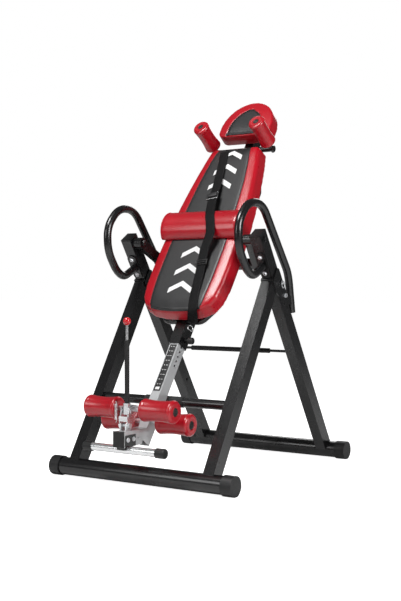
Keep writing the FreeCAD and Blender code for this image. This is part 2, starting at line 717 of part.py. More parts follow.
def waisted_roller(r_end, r_waist, length, bore):
    """Concave foam roller about local Z from 0 to length, closed end at the top when bore is blind."""
    lip = 10.0
    points = [V(bore, 0, 0), V(r_end - lip, 0, 0)]
    edges = [Part.LineSegment(points[0], points[1]).toShape()]
    q = lip * (1 - math.sqrt(0.5))
    edges.append(Part.Arc(V(r_end - lip, 0, 0), V(r_end - q, 0, q), V(r_end, 0, lip)).toShape())
    edges.append(Part.Arc(V(r_end, 0, lip), V(r_waist, 0, length / 2), V(r_end, 0, length - lip)).toShape())
    edges.append(Part.Arc(V(r_end, 0, length - lip), V(r_end - q, 0, length - q),
                          V(r_end - lip, 0, length)).toShape())
    edges.append(Part.LineSegment(V(r_end - lip, 0, length), V(bore, 0, length)).toShape())
    edges.append(Part.LineSegment(V(bore, 0, length), V(bore, 0, 0)).toShape())
    profile = Part.Face(Part.Wire(edges))
    return profile.revolve(V(0, 0, 0), Z_AXIS, 360)


def shoulder_roller(side):
    length = SHOULDER_TOP - SHOULDER_LOW
    roller = waisted_roller(SHOULDER_R, SHOULDER_WAIST, length, SHOULDER_ROD_R)
    roller.translate(V(side * SHOULDER_X, SHOULDER_STATION, SHOULDER_LOW))
    return roller


def shoulder_plug(side):
    return rod_z(side * SHOULDER_X, SHOULDER_STATION, SHOULDER_TOP - 8, SHOULDER_TOP - 2, SHOULDER_ROD_R)


def head_outline(level, inset):
    """Half ellipse standing on a straight lower edge with rounded corners."""
    half = HEAD_HALF - inset
    low = HEAD_LOW + inset
    top = HEAD_TOP - inset
    shoulder = low + 42
    edges = [Part.LineSegment(V(-half + 24, low, level), V(half - 24, low, level)).toShape()]
    edges.append(Part.Arc(V(half - 24, low, level), V(half - 7, low + 7, level),
                          V(half, low + 24, level)).toShape())
    edges.append(Part.LineSegment(V(half, low + 24, level), V(half, shoulder, level)).toShape())
    curve = []
    steps = 9
    for i in range(steps + 1):
        angle = math.pi * i / steps
        curve.append(V(half * math.cos(angle), shoulder + (top - shoulder) * math.sin(angle), level))
    crown = Part.BSplineCurve()
    crown.interpolate(curve)
    edges.append(crown.toShape())
    edges.append(Part.LineSegment(V(-half, shoulder, level), V(-half, low + 24, level)).toShape())
    edges.append(Part.Arc(V(-half, low + 24, level), V(-half + 7, low + 7, level),
                          V(-half + 24, low, level)).toShape())
    return Part.Face(Part.Wire(edges))


def head_pad():
    return head_outline(HEAD_OUT - HEAD_T, 0).extrude(V(0, 0, HEAD_T))


def head_board():
    return head_outline(HEAD_OUT - HEAD_T - HEAD_BOARD_T, 8).extrude(V(0, 0, HEAD_BOARD_T))


def head_stem():
    tube = bed_tube(TUBE_W, TUBE_D, TUBE_WALL, 1190, 1455)
    front = SLEEVE_MID + TUBE_D / 2
    bracket = box(-30, 30, 1400, 1455, front, HEAD_OUT - HEAD_T - HEAD_BOARD_T)
    return fused(tube, bracket)


def head_knob():
    """Clamp screw behind the sleeve that holds the head stem."""
    back = TUBE_FACE - SLEEVE_D
    boss = rod_z(0, 1300, back - 8, back, 9)
    shank = rod_z(0, 1300, back - 14, back - 8, 5)
    grip = rod_z(0, 1300, back - 30, back - 14, 17)
    return fused(boss, shank, round_edges(grip, 3, lambda e: len(e.Vertexes) == 1))


def bed():
    save("sleeve_tube", on_bed(sleeve_tube()))
    save("height_pin", on_bed(height_pin()))
    save("backboard", on_bed(backboard()))
    save("cushion", on_bed(cushion()))
    save("lumbar_pillow", on_bed(pillow()))
    save("belt", on_bed(belt()))
    save("belt_hardware", [on_bed(buckle()), on_bed(slider()), on_bed(d_ring())])
    save("pivot_bushes", [on_bed(pivot_bush(side)) for _, side in SIDES])
    save("shoulder_frame", on_bed(shoulder_frame()))
    save("shoulder_plugs", [on_bed(shoulder_plug(side)) for _, side in SIDES])
    save("shoulder_rollers", [on_bed(shoulder_roller(side)) for _, side in SIDES])
    save("pivot_arms", [on_bed(pivot_arm(side)) for _, side in SIDES])
    save("back_rails", [on_bed(back_rail(side)) for _, side in SIDES])
    save("head_pad", on_bed(head_pad()))
    save("head_board", on_bed(head_board()))
    save("head_stem", on_bed(head_stem()))
    save("head_clamp_knob", on_bed(head_knob()))


# ---------------------------------------------------------------- leg tube and ankle clamp


def leg_tube():
    tube = bed_tube(TUBE_W, TUBE_D, TUBE_WALL, TUBE_FOOT, TUBE_TOP)
    tube = tube.cut(rod_x(-60, 60, REAR_AXLE_STATION, REAR_AXLE_OUT, AXLE_R))
    for i in range(10):
        station = PIN_STATION - 4.5 * HOLE_PITCH + (i - 1) * HOLE_PITCH
        tube = tube.cut(rod_x(0, 60, station, SLEEVE_MID, HOLE_R))
    return tube


def scale_strip():
    front = SLEEVE_MID + TUBE_D / 2
    return box(-STRIP_HALF, STRIP_HALF, STRIP_LOW, STRIP_TOP, front, front + STRIP_T)


def rear_axle():
    return rod_x(-ROLLER_OUT + 6, ROLLER_OUT - 6, REAR_AXLE_STATION, REAR_AXLE_OUT, AXLE_R)


def boom():
    outer = box(-BOOM_W / 2, BOOM_W / 2, BOOM_FRONT, 80, BOOM_LOW, BOOM_HIGH)
    inner = box(-BOOM_W / 2 + 2, BOOM_W / 2 - 2, BOOM_FRONT - 1, 81, BOOM_LOW + 2, BOOM_HIGH - 2)
    tube = outer.cut(inner)
    front = SLEEVE_MID + TUBE_D / 2
    behind = on_bed(box(-100, 100, -200, 600, front - 300, front))
    tube = tube.cut(behind)
    for ear in clamp_ears():
        tube = tube.fuse(ear)
    tube = tube.cut(rod_x(-60, 60, FOOT_BAR_Y, FOOT_BAR_Z, FOOT_BAR_R))
    tube = tube.removeSplitter()
    for _, side in SIDES:
        for y in BOOM_BOLTS:
            tube = tube.cut(rod_x(side * (BOOM_W / 2 - 4), side * (BOOM_W / 2 + 1), y, BOOM_MID, BOLT_R))
    return tube.cut(rod_x(-60, 60, BOOM_HOLE_Y, BOOM_MID, 3))


def boom_cap():
    half = BOOM_W / 2
    cap = box(-half - 1, half + 1, BOOM_FRONT - END_CAP_T, BOOM_FRONT, BOOM_LOW - 1, BOOM_HIGH + 1)
    cap = round_edges(cap, 3, lambda e: e.BoundBox.YMax < BOOM_FRONT - END_CAP_T + 0.01)
    plug = box(-half + 2.1, half - 2.1, BOOM_FRONT, BOOM_FRONT + 10, BOOM_LOW + 2.1, BOOM_HIGH - 2.1)
    return fused(cap, plug)


def boom_plates():
    """Bolted side plates of the foot bar's bracket, one each side of the boom."""
    plates = []
    for _, side in SIDES:
        x0, x1 = side * BOOM_W / 2, side * (BOOM_W / 2 + 3)
        plate = box(min(x0, x1), max(x0, x1), -107, -54, BOOM_LOW, BOOM_MID + 15)
        for y in BOOM_BOLTS:
            plate = plate.cut(rod_x(-60, 60, y, BOOM_MID, BOLT_R))
        plates.append(plate.cut(rod_x(-60, 60, FOOT_BAR_Y, FOOT_BAR_Z, FOOT_BAR_R)))
    return plates


def boom_bolt(side, y):
    x = side * (BOOM_W / 2 + 3)
    head = rod_x(x, x + side * 4, y, BOOM_MID, 7.5)
    shank = rod_x(x - side * 7, x, y, BOOM_MID, BOLT_R)
    return fused(head, shank)


def foot_saddle():
    """Block welded under the boom that the foot bar passes through."""
    block = box(-17, 17, FOOT_BAR_Y - 17, FOOT_BAR_Y + 17, FOOT_BAR_Z, BOOM_LOW)
    return block.cut(rod_x(-60, 60, FOOT_BAR_Y, FOOT_BAR_Z, FOOT_BAR_R))


def foot_bar():
    bar = rod_x(-FOOT_BAR_HALF, FOOT_BAR_HALF, FOOT_BAR_Y, FOOT_BAR_Z, FOOT_BAR_R)
    return bar.cut(rod_x(-FOOT_BAR_HALF - 1, FOOT_BAR_HALF + 1, FOOT_BAR_Y, FOOT_BAR_Z, FOOT_BAR_R - 2))


def foot_cap(side):
    outer = rod_x(side * (FOOT_BAR_HALF - FOOT_CAP_LEN + 4), side * (FOOT_BAR_HALF + 4),
                  FOOT_BAR_Y, FOOT_BAR_Z, FOOT_CAP_R)
    outer = round_edges(outer, 4, lambda e: len(e.Vertexes) == 1
                        and abs(abs(e.BoundBox.Center.x) - FOOT_BAR_HALF - 4) < 0.1)
    socket = rod_x(0, side * FOOT_BAR_HALF, FOOT_BAR_Y, FOOT_BAR_Z, FOOT_BAR_R)
    return outer.cut(socket)


def clamp_ears():
    """Two ears welded on top of the boom for the clamp's pivot pin."""
    ears = []
    y, z = CLAMP_PIVOT
    outline = ((y - 16, BOOM_HIGH), (y - 9, z + 8), (y + 9, z + 8), (y + 16, BOOM_HIGH))
    for _, side in SIDES:
        ear = plate_yz(outline, side * EAR_IN, side * EAR_OUT)
        ears.append(ear.cut(rod_x(-60, 60, y, z, CLAMP_PIN_R)))
    return ears


def clamp_pin():
    y, z = CLAMP_PIVOT
    shank = rod_x(-ARM_PLATE_OUT - 4, ARM_PLATE_OUT + 4, y, z, CLAMP_PIN_R)
    heads = [rod_x(side * (ARM_PLATE_OUT + 0.4), side * (ARM_PLATE_OUT + 4), y, z, 8) for _, side in SIDES]
    return fused(shank, heads[0], heads[1])


def clamp_arm():
    """Two plates from the pivot to the front axle, joined by a bridge in front."""
    (py, pz), (ay, az), (ly, lz) = CLAMP_PIVOT, CLAMP_AXLE, LEVER_PIVOT
    outline = ((py - 10, pz - 7), (py + 8, pz - 9), (ay + 13, az - 8), (ay + 12, az + 12),
               (ly + 8, lz + 16), (ly - 11, lz + 12), (py - 12, pz + 4))
    plates = []
    for _, side in SIDES:
        plate = plate_yz(outline, side * ARM_PLATE_IN, side * ARM_PLATE_OUT)
        plate = plate.cut(rod_x(-60, 60, py, pz, CLAMP_PIN_R + RUN_CLEAR))
        plates.append(plate)
    bridge = plate_yz(((ay + 3, az + 14), (ay + 6, az + 11), (ly + 13, lz + 14), (ly + 12, lz + 19)),
                      -ARM_PLATE_OUT, ARM_PLATE_OUT)
    lower = plate_yz(((py - 12, pz + 14), (py - 8, pz + 14), (py - 8, pz + 30), (py - 12, pz + 30)),
                     -ARM_PLATE_OUT, ARM_PLATE_OUT)
    arm = fused(plates[0], plates[1], bridge, lower)
    arm = arm.cut(rod_x(-60, 60, ay, az, AXLE_R))
    return arm.cut(rod_x(-60, 60, ly, lz, LEVER_PIN_R))


def front_axle():
    y, z = CLAMP_AXLE
    return rod_x(-ROLLER_OUT + 6, ROLLER_OUT - 6, y, z, AXLE_R)


def lever_pin():
    y, z = LEVER_PIVOT
    shank = rod_x(-ARM_PLATE_OUT - 3, ARM_PLATE_OUT + 3, y, z, LEVER_PIN_R)
    heads = [rod_x(side * ARM_PLATE_OUT, side * (ARM_PLATE_OUT + 3), y, z, 7) for _, side in SIDES]
    return fused(shank, heads[0], heads[1])


def ankle_roller(side, y, z):
    roller = waisted_roller(ROLLER_R, ROLLER_WAIST, ROLLER_OUT - ROLLER_IN, AXLE_R + RUN_CLEAR)
    roller.rotate(V(0, 0, 0), V(0, 1, 0), 90)
    roller.translate(V(ROLLER_IN, 0, 0))
    if side < 0:
        roller.rotate(V(0, 0, 0), Z_AXIS, 180)
    roller.translate(V(0, y, z))
    pocket = rod_x(side * (ROLLER_OUT - 5.8), side * (ROLLER_OUT + 1), y, z, ROLLER_PLUG_R)
    return roller.cut(pocket)


def lever_fork():
    """Forged fork on the lever's pin with a socket for the lever bar."""
    y, z = LEVER_PIVOT
    body = box(-10, 10, y - 9, y + 9, z - 10, z + 26)
    fork = round_edges(body, 4, along_z)
    return fork.cut(rod_x(-60, 60, y, z, LEVER_PIN_R + RUN_CLEAR))


def lever_parts():
    y = LEVER_PIVOT[0]
    save("lever_fork", lever_fork())
    grip = rod_z(0, y, GRIP_LOW, GRIP_TOP, GRIP_R)
    grip = round_edges(grip, 2, lambda e: len(e.Vertexes) == 1 and e.BoundBox.ZMin > GRIP_TOP - 1)
    save("lever_grip", grip.cut(rod_z(0, y, GRIP_LOW + 10, GRIP_TOP + 1, LEVER_ROD_R)))
    save("lever_rod", rod_z(0, y, GRIP_LOW + 10, BALL_Z - 6, LEVER_ROD_R))
    ball = Part.makeSphere(BALL_R, V(0, y, BALL_Z))
    save("lever_ball", ball.cut(rod_z(0, y, BALL_Z - 20, BALL_Z - 6, LEVER_ROD_R)))


def clamp_spring():
    """Envelope of the tension spring beside the clamp arm."""
    coil = rod_z(SPRING_X, SPRING_Y, SPRING_LOW, SPRING_TOP, SPRING_R)
    return coil.cut(rod_z(SPRING_X, SPRING_Y, SPRING_LOW - 1, SPRING_TOP + 1, SPRING_R - 1.6))


def foot_end():
    save("leg_tube", on_bed(leg_tube()))
    save("height_scale_strip", on_bed(scale_strip()))
    save("rear_axle", on_bed(rear_axle()))
    save("boom", boom())
    save("boom_end_cap", boom_cap())
    save("foot_bar_bracket", boom_plates() + [foot_saddle()])
    save("foot_bar_bolts", [boom_bolt(side, y) for _, side in SIDES for y in BOOM_BOLTS])
    save("foot_bar", foot_bar())
    save("foot_bar_caps", [foot_cap(side) for _, side in SIDES])
    save("clamp_pin", clamp_pin())
    save("clamp_arm", clamp_arm())
    save("front_axle", front_axle())
    save("lever_pin", lever_pin())
    save("clamp_spring", clamp_spring())
    rear = bed_point(0, REAR_AXLE_STATION, REAR_AXLE_OUT)
    for name, side in SIDES:
        save("rear_roller_" + name, ankle_roller(side, rear.y, rear.z))
        save("front_roller_" + name, ankle_roller(side, *CLAMP_AXLE))
    lever_parts()


os.makedirs("parts", exist_ok=True)
a_frame()
bed()
foot_end()
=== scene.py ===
"""Dresses the inversion table's frame: pads, rollers, belt, bolts, finishes, and a plain studio."""
import bmesh
import bpy
import json
import math
from bpy.props import FloatProperty, FloatVectorProperty, IntProperty, PointerProperty
from bpy.types import Operator, Panel, PropertyGroup
from mathutils import Matrix, Vector
from mathutils.bvhtree import BVHTree


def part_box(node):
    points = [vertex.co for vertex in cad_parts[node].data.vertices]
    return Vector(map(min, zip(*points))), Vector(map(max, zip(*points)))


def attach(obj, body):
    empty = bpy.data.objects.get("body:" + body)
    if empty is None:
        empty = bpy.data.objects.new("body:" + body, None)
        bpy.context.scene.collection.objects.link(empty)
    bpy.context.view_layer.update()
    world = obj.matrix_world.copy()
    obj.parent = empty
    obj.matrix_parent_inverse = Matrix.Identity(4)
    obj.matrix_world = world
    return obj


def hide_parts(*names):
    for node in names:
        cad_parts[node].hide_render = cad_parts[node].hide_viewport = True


bl_info = {
    "name": "Inversion Table Dressing",
    "version": (1, 0, 0),
    "blender": (4, 5, 0),
    "location": "View3D > Sidebar > Inversion Table",
    "description": "Makes the pads, rollers, belt, fittings and finishes of a folding inversion table",
    "category": "Object",
}

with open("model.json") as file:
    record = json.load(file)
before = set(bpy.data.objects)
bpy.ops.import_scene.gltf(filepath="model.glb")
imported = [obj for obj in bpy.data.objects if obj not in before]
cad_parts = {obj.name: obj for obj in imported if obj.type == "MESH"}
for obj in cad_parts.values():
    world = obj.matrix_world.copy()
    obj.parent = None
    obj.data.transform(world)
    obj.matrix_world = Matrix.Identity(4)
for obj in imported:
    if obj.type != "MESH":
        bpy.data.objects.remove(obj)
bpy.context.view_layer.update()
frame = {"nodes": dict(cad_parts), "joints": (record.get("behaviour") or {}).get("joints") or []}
MADE = {}


# ---------------------------------------------------------------- the bed's own axes
def joint_named(name):
    return next(joint for joint in frame["joints"] if joint["name"] == name)


def bed_matrix():
    """Local X across the table, Y up the bed from the cushion's lower end, Z out of its face."""
    up_bed = -Vector(joint_named("height_adjust")["axis"])
    across = Vector((1, 0, 0))
    out = across.cross(up_bed)
    points = [vertex.co for vertex in frame["nodes"]["cushion"].data.vertices]
    low = min(point.dot(up_bed) for point in points)
    face = max(point.dot(out) for point in points)
    origin = up_bed * low + out * face
    turn = Matrix((across, up_bed, out)).transposed().to_4x4()
    return Matrix.Translation(origin) @ turn


BED = bed_matrix()


def bed_box(node):
    """A CAD node's lowest and highest corners in the bed's own axes."""
    back = BED.inverted()
    points = [back @ vertex.co for vertex in frame["nodes"][node].data.vertices]
    low = Vector([min(point[i] for point in points) for i in range(3)])
    high = Vector([max(point[i] for point in points) for i in range(3)])
    return low, high


PAD_LENGTH = bed_box("cushion")[1].y


# ---------------------------------------------------------------- settings a user would change
class UpholsterySizes(PropertyGroup):
    voxel: FloatProperty(name="Remesh voxel", description="Cell size the pads are remeshed at",
                         default=0.005, min=0.003, max=0.02, unit="LENGTH")
    cushion_puff: FloatProperty(name="Cushion puff", description="How far the bed cushion may swell",
                                default=0.006, min=0.0, max=0.03, unit="LENGTH")
    roll_puff: FloatProperty(name="Lumbar roll puff", description="How far the lumbar roll may swell",
                             default=0.005, min=0.0, max=0.03, unit="LENGTH")
    head_puff: FloatProperty(name="Head pad puff", description="How far the head pad may swell",
                             default=0.006, min=0.0, max=0.03, unit="LENGTH")
    pressure: FloatProperty(name="Filling pressure", description="Pressure of the stuffing on its cover",
                            default=4.0, min=0.0, max=20.0)
    piping: FloatProperty(name="Piping radius", description="Radius of the sewn welt cord",
                          default=0.0022, min=0.001, max=0.006, unit="LENGTH")


class WebbingSizes(PropertyGroup):
    width: FloatProperty(name="Webbing width", description="Width of the lumbar belt's webbing",
                         default=0.036, min=0.02, max=0.06, unit="LENGTH")
    thickness: FloatProperty(name="Webbing thickness", description="Thickness of the webbing",
                             default=0.0017, min=0.001, max=0.004, unit="LENGTH")


class RollerSizes(PropertyGroup):
    turns: IntProperty(name="Sides", description="Sides of a turned roller", default=72, min=24, max=128)
    dimple: FloatProperty(name="End seam depth", description="Depth of the sewn line near a roller's end",
                          default=0.0006, min=0.0, max=0.004, unit="LENGTH")


class TableColours(PropertyGroup):
    vinyl: FloatVectorProperty(name="Vinyl", description="Red vinyl of pads and rollers", subtype="COLOR",
                               size=3, default=(0.42, 0.003, 0.012), min=0.0, max=1.0)
    panel: FloatVectorProperty(name="Panel", description="Dark grained panel", subtype="COLOR",
                               size=3, default=(0.0065, 0.0065, 0.007), min=0.0, max=1.0)
    coating: FloatVectorProperty(name="Powder coat", description="Coating of the steel tubes",
                                 subtype="COLOR", size=3, default=(0.0045, 0.0045, 0.005),
                                 min=0.0, max=1.0)
    webbing: FloatVectorProperty(name="Webbing", description="Woven belt", subtype="COLOR", size=3,
                                 default=(0.004, 0.004, 0.0045), min=0.0, max=1.0)
    silver: FloatVectorProperty(name="Silver lacquer", description="Sliding leg tube", subtype="COLOR",
                                size=3, default=(0.60, 0.61, 0.62), min=0.0, max=1.0)


def settings(group):
    return getattr(bpy.context.scene, "inversion_table_" + group)


# ---------------------------------------------------------------- finishes
class Finish:
    """One node material: a Principled shader and short ways to feed it."""

    def __init__(self, name, colour, roughness, metallic=0.0):
        self.material = bpy.data.materials.new(name)
        self.material.use_nodes = True
        self.material.diffuse_color = (*colour, 1.0)
        self.tree = self.material.node_tree
        self.shader = self.tree.nodes["Principled BSDF"]
        self.shader.inputs["Base Color"].default_value = (*colour, 1.0)
        self.shader.inputs["Roughness"].default_value = roughness
        self.shader.inputs["Metallic"].default_value = metallic
        self.colour = colour
        self.place = self.node("ShaderNodeTexCoord").outputs["Object"]

    def node(self, kind, **values):
        made = self.tree.nodes.new(kind)
        for name, value in values.items():
            setattr(made, name, value)
        return made

    def link(self, source, target):
        self.tree.links.new(source, target)

    def math(self, operation, first, second=0.0, third=0.0):
        node = self.node("ShaderNodeMath", operation=operation)
        for socket, value in zip(node.inputs, (first, second, third)):
            if isinstance(value, (int, float)):
                socket.default_value = value
            else:
                self.link(value, socket)
        return node.outputs[0]

    def noise(self, scale, detail=2.0, roughness=0.5):
        node = self.node("ShaderNodeTexNoise")
        node.inputs["Scale"].default_value = scale
        node.inputs["Detail"].default_value = detail
        node.inputs["Roughness"].default_value = roughness
        self.link(self.place, node.inputs["Vector"])
        return node.outputs["Fac"]

    def cells(self, scale):
        node = self.node("ShaderNodeTexVoronoi", feature="F1")
        node.inputs["Scale"].default_value = scale
        self.link(self.place, node.inputs["Vector"])
        return node.outputs["Distance"]

    def wave(self, direction, scale, warp=0.0):
        node = self.node("ShaderNodeTexWave", bands_direction=direction)
        node.inputs["Scale"].default_value = scale
        node.inputs["Distortion"].default_value = warp
        self.link(self.place, node.inputs["Vector"])
        return node.outputs["Fac"]

    def spread(self, source, low, high):
        node = self.node("ShaderNodeMapRange")
        node.inputs["To Min"].default_value = low
        node.inputs["To Max"].default_value = high
        self.link(source, node.inputs["Value"])
        return node.outputs["Result"]

    def mix(self, factor, first, second):
        """Blend two colours; each is a triple or a socket."""
        node = self.node("ShaderNodeMix", data_type="RGBA")
        self.link(factor, node.inputs[0])
        for socket, value in ((node.inputs[6], first), (node.inputs[7], second)):
            if isinstance(value, tuple):
                socket.default_value = (*value, 1.0)
            else:
                self.link(value, socket)
        return node.outputs[2]

    def tint(self, source, spread=0.25):
        """Colour drifts round its own value with a texture."""
        dark = tuple(value * (1 - spread) for value in self.colour)
        light = tuple(min(1.0, value * (1 + spread)) for value in self.colour)
        self.link(self.mix(source, dark, light), self.shader.inputs["Base Color"])

    def rough(self, source, low, high):
        self.link(self.spread(source, low, high), self.shader.inputs["Roughness"])

    def bumps(self, *layers):
        """Stack bump layers of (height, depth in metres)."""
        previous = None
        for height, depth in layers:
            bump = self.node("ShaderNodeBump")
            bump.inputs["Strength"].default_value = 1.0
            bump.inputs["Distance"].default_value = depth
            self.link(height, bump.inputs["Height"])
            if previous is not None:
                self.link(previous, bump.inputs["Normal"])
            previous = bump.outputs["Normal"]
        self.link(previous, self.shader.inputs["Normal"])

    def set(self, **values):
        for name, value in values.items():
            self.shader.inputs[name.replace("_", " ")].default_value = value


def powder_coat():
    coat = Finish("black_powder_coat", tuple(settings("colours").coating), 0.27)
    coat.set(Coat_Weight=0.4, Coat_Roughness=0.16)
    coat.tint(coat.noise(9.0, 3.0), 0.2)
    coat.rough(coat.noise(12.0, 2.0), 0.24, 0.30)
    coat.bumps((coat.noise(1400.0, 2.0), 0.00003))
    return coat.material


def moulded_plastic():
    plastic = Finish("moulded_black_plastic", (0.0055, 0.0055, 0.006), 0.42)
    plastic.tint(plastic.noise(20.0, 3.0), 0.3)
    plastic.rough(plastic.noise(60.0, 3.0), 0.38, 0.55)
    plastic.bumps((plastic.cells(1600.0), 0.00008))
    return plastic.material


def closed_foam():
    foam = Finish("closed_cell_foam", (0.007, 0.007, 0.0075), 0.7)
    foam.tint(foam.noise(80.0, 3.0), 0.35)
    foam.rough(foam.noise(150.0, 2.0), 0.55, 0.8)
    foam.bumps((foam.cells(900.0), 0.00025), (foam.noise(60.0, 2.0), 0.0003))
    return foam.material


def zinc_plate():
    zinc = Finish("zinc_plate", (0.76, 0.77, 0.79), 0.30, 0.85)
    zinc.tint(zinc.noise(70.0, 4.0), 0.12)
    zinc.rough(zinc.noise(220.0, 3.0), 0.25, 0.38)
    zinc.bumps((zinc.noise(900.0, 2.0), 0.00003))
    return zinc.material


def bright_chrome():
    chrome = Finish("bright_chrome", (0.86, 0.87, 0.88), 0.20, 0.85)
    chrome.rough(chrome.noise(60.0, 4.0), 0.16, 0.26)
    chrome.bumps((chrome.noise(25.0, 2.0), 0.00005))
    return chrome.material


def silver_lacquer():
    silver = Finish("silver_lacquer", tuple(settings("colours").silver), 0.34, 0.55)
    silver.set(Coat_Weight=0.3, Coat_Roughness=0.15)
    silver.tint(silver.noise(14.0, 3.0), 0.06)
    silver.rough(silver.noise(90.0, 3.0), 0.28, 0.42)
    silver.bumps((silver.noise(1700.0, 1.0), 0.00003))
    return silver.material


def stained_board():
    board = Finish("stained_board", (0.020, 0.017, 0.014), 0.6)
    board.tint(board.wave("X", 30.0, 6.0), 0.5)
    board.rough(board.noise(50.0, 3.0), 0.5, 0.75)
    board.bumps((board.wave("X", 90.0, 8.0), 0.0002))
    return board.material


def red_vinyl(name="red_vinyl"):
    vinyl = Finish(name, tuple(settings("colours").vinyl), 0.28)
    vinyl.set(Coat_Weight=0.5, Coat_Roughness=0.14)
    vinyl.tint(vinyl.noise(7.0, 4.0), 0.16)
    vinyl.rough(vinyl.noise(45.0, 3.0), 0.25, 0.34)
    vinyl.bumps((vinyl.cells(700.0), 0.00012), (vinyl.noise(28.0, 4.0), 0.0005))
    return vinyl


def panelled_vinyl(name, half_widths, low, high, face):
    """Red vinyl with the dark grained panel let into the face, bounded by half widths along Y."""
    vinyl = red_vinyl(name)
    vinyl.set(Coat_Weight=0.3, Coat_Roughness=0.22)
    colours = settings("colours")
    parts = vinyl.node("ShaderNodeSeparateXYZ")
    vinyl.link(vinyl.place, parts.inputs[0])
    across, along, out = parts.outputs
    step = vinyl.node("ShaderNodeMapRange")
    step.inputs["From Min"].default_value = low
    step.inputs["From Max"].default_value = high
    vinyl.link(along, step.inputs["Value"])
    ramp = vinyl.node("ShaderNodeValToRGB")
    ramp.color_ramp.interpolation = "B_SPLINE"
    spots = ramp.color_ramp.elements
    while len(spots) < len(half_widths):
        spots.new(0.5)
    widest = max(half for _, half in half_widths)
    for spot, (position, half) in zip(spots, half_widths):
        spot.position = position
        spot.color = (half / widest, half / widest, half / widest, 1.0)
    vinyl.link(step.outputs["Result"], ramp.inputs["Fac"])
    limit = vinyl.math("MULTIPLY", ramp.outputs["Color"], widest)
    inside = vinyl.math("LESS_THAN", vinyl.math("ABSOLUTE", across), limit)
    facing = vinyl.math("GREATER_THAN", out, face)
    start = vinyl.math("GREATER_THAN", along, low)
    stop = vinyl.math("LESS_THAN", along, high)
    face_part = vinyl.math("MULTIPLY", inside, facing)
    mask = vinyl.math("MULTIPLY", face_part, vinyl.math("MULTIPLY", start, stop))
    dark = tuple(colours.panel)
    grain = vinyl.cells(420.0)
    panel = vinyl.mix(grain, tuple(value * 0.6 for value in dark), tuple(value * 1.7 for value in dark))
    red = vinyl.shader.inputs["Base Color"].links[0].from_socket
    vinyl.link(vinyl.mix(mask, red, panel), vinyl.shader.inputs["Base Color"])
    blend = vinyl.node("ShaderNodeMix", data_type="FLOAT")
    vinyl.link(mask, blend.inputs[0])
    vinyl.link(vinyl.shader.inputs["Roughness"].links[0].from_socket, blend.inputs[2])
    vinyl.link(vinyl.spread(vinyl.noise(120.0, 3.0), 0.38, 0.52), blend.inputs[3])
    vinyl.link(blend.outputs[0], vinyl.shader.inputs["Roughness"])
    return vinyl.material


def woven_webbing():
    webbing = Finish("woven_webbing", tuple(settings("colours").webbing), 0.62)
    webbing.set(Specular_IOR_Level=0.2)
    warp = webbing.wave("X", 110.0)
    weft = webbing.wave("Y", 160.0)
    weave = webbing.math("MULTIPLY", warp, weft)
    webbing.tint(weave, 0.5)
    webbing.rough(webbing.noise(160.0, 3.0), 0.5, 0.75)
    webbing.bumps((weave, 0.0005))
    return webbing.material


def sewing_thread(name, colour):
    thread = Finish(name, colour, 0.55)
    thread.tint(thread.wave("DIAGONAL", 900.0), 0.25)
    thread.bumps((thread.wave("DIAGONAL", 900.0), 0.0002))
    return thread.material


def printed_white():
    ink = Finish("white_print", (0.82, 0.82, 0.82), 0.45)
    ink.tint(ink.noise(40.0, 3.0), 0.05)
    ink.bumps((ink.cells(700.0), 0.0001))
    return ink.material


def ball_lacquer():
    ball = Finish("red_ball_lacquer", (0.55, 0.008, 0.015), 0.16)
    ball.set(Coat_Weight=0.8, Coat_Roughness=0.05)
    ball.tint(ball.noise(60.0, 3.0), 0.08)
    ball.bumps((ball.noise(120.0, 1.0), 0.00003))
    return ball.material


def dark_plug():
    plug = Finish("grey_plug", (0.020, 0.017, 0.016), 0.5)
    plug.tint(plug.noise(120.0, 3.0), 0.25)
    plug.bumps((plug.cells(1200.0), 0.0001))
    return plug.material


FINISH_MAKERS = {
    "coat": powder_coat, "plastic": moulded_plastic, "foam": closed_foam, "zinc": zinc_plate,
    "chrome": bright_chrome, "silver": silver_lacquer, "board": stained_board,
    "vinyl": lambda: red_vinyl().material, "webbing": woven_webbing, "print": printed_white,
    "ball": ball_lacquer, "plug": dark_plug,
    "red_thread": lambda: sewing_thread("red_thread", (0.32, 0.006, 0.012)),
    "black_thread": lambda: sewing_thread("black_thread", (0.006, 0.006, 0.0065)),
}


def finish(name):
    if name not in MADE:
        MADE[name] = FINISH_MAKERS[name]()
    return MADE[name]


# ---------------------------------------------------------------- mesh makers
def piece(name, mesh_data, body, material, matrix=None, smooth=True):
    """A new object from (vertices, faces) or a bmesh, riding on a body."""
    mesh = bpy.data.meshes.new(name)
    if isinstance(mesh_data, bmesh.types.BMesh):
        mesh_data.to_mesh(mesh)
        mesh_data.free()
    else:
        mesh.from_pydata(mesh_data[0], [], mesh_data[1])
    mesh.validate()
    item = bpy.data.objects.new(name, mesh)
    bpy.context.scene.collection.objects.link(item)
    if matrix is not None:
        item.matrix_world = matrix
    mesh.materials.append(material)
    tidy = bmesh.new()
    tidy.from_mesh(mesh)
    bmesh.ops.recalc_face_normals(tidy, faces=tidy.faces)
    tidy.to_mesh(mesh)
    tidy.free()
    if smooth:
        smooth_by_angle(item, 40)
    bpy.context.view_layer.update()
    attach(item, body)
    return item


def smooth_by_angle(item, degrees):
    """Smooth shading with edges kept sharp above an angle."""
    work = bmesh.new()
    work.from_mesh(item.data)
    for face in work.faces:
        face.smooth = True
    for edge in work.edges:
        edge.smooth = len(edge.link_faces) != 2 or edge.calc_face_angle(0.0) < math.radians(degrees)
    work.to_mesh(item.data)
    work.free()


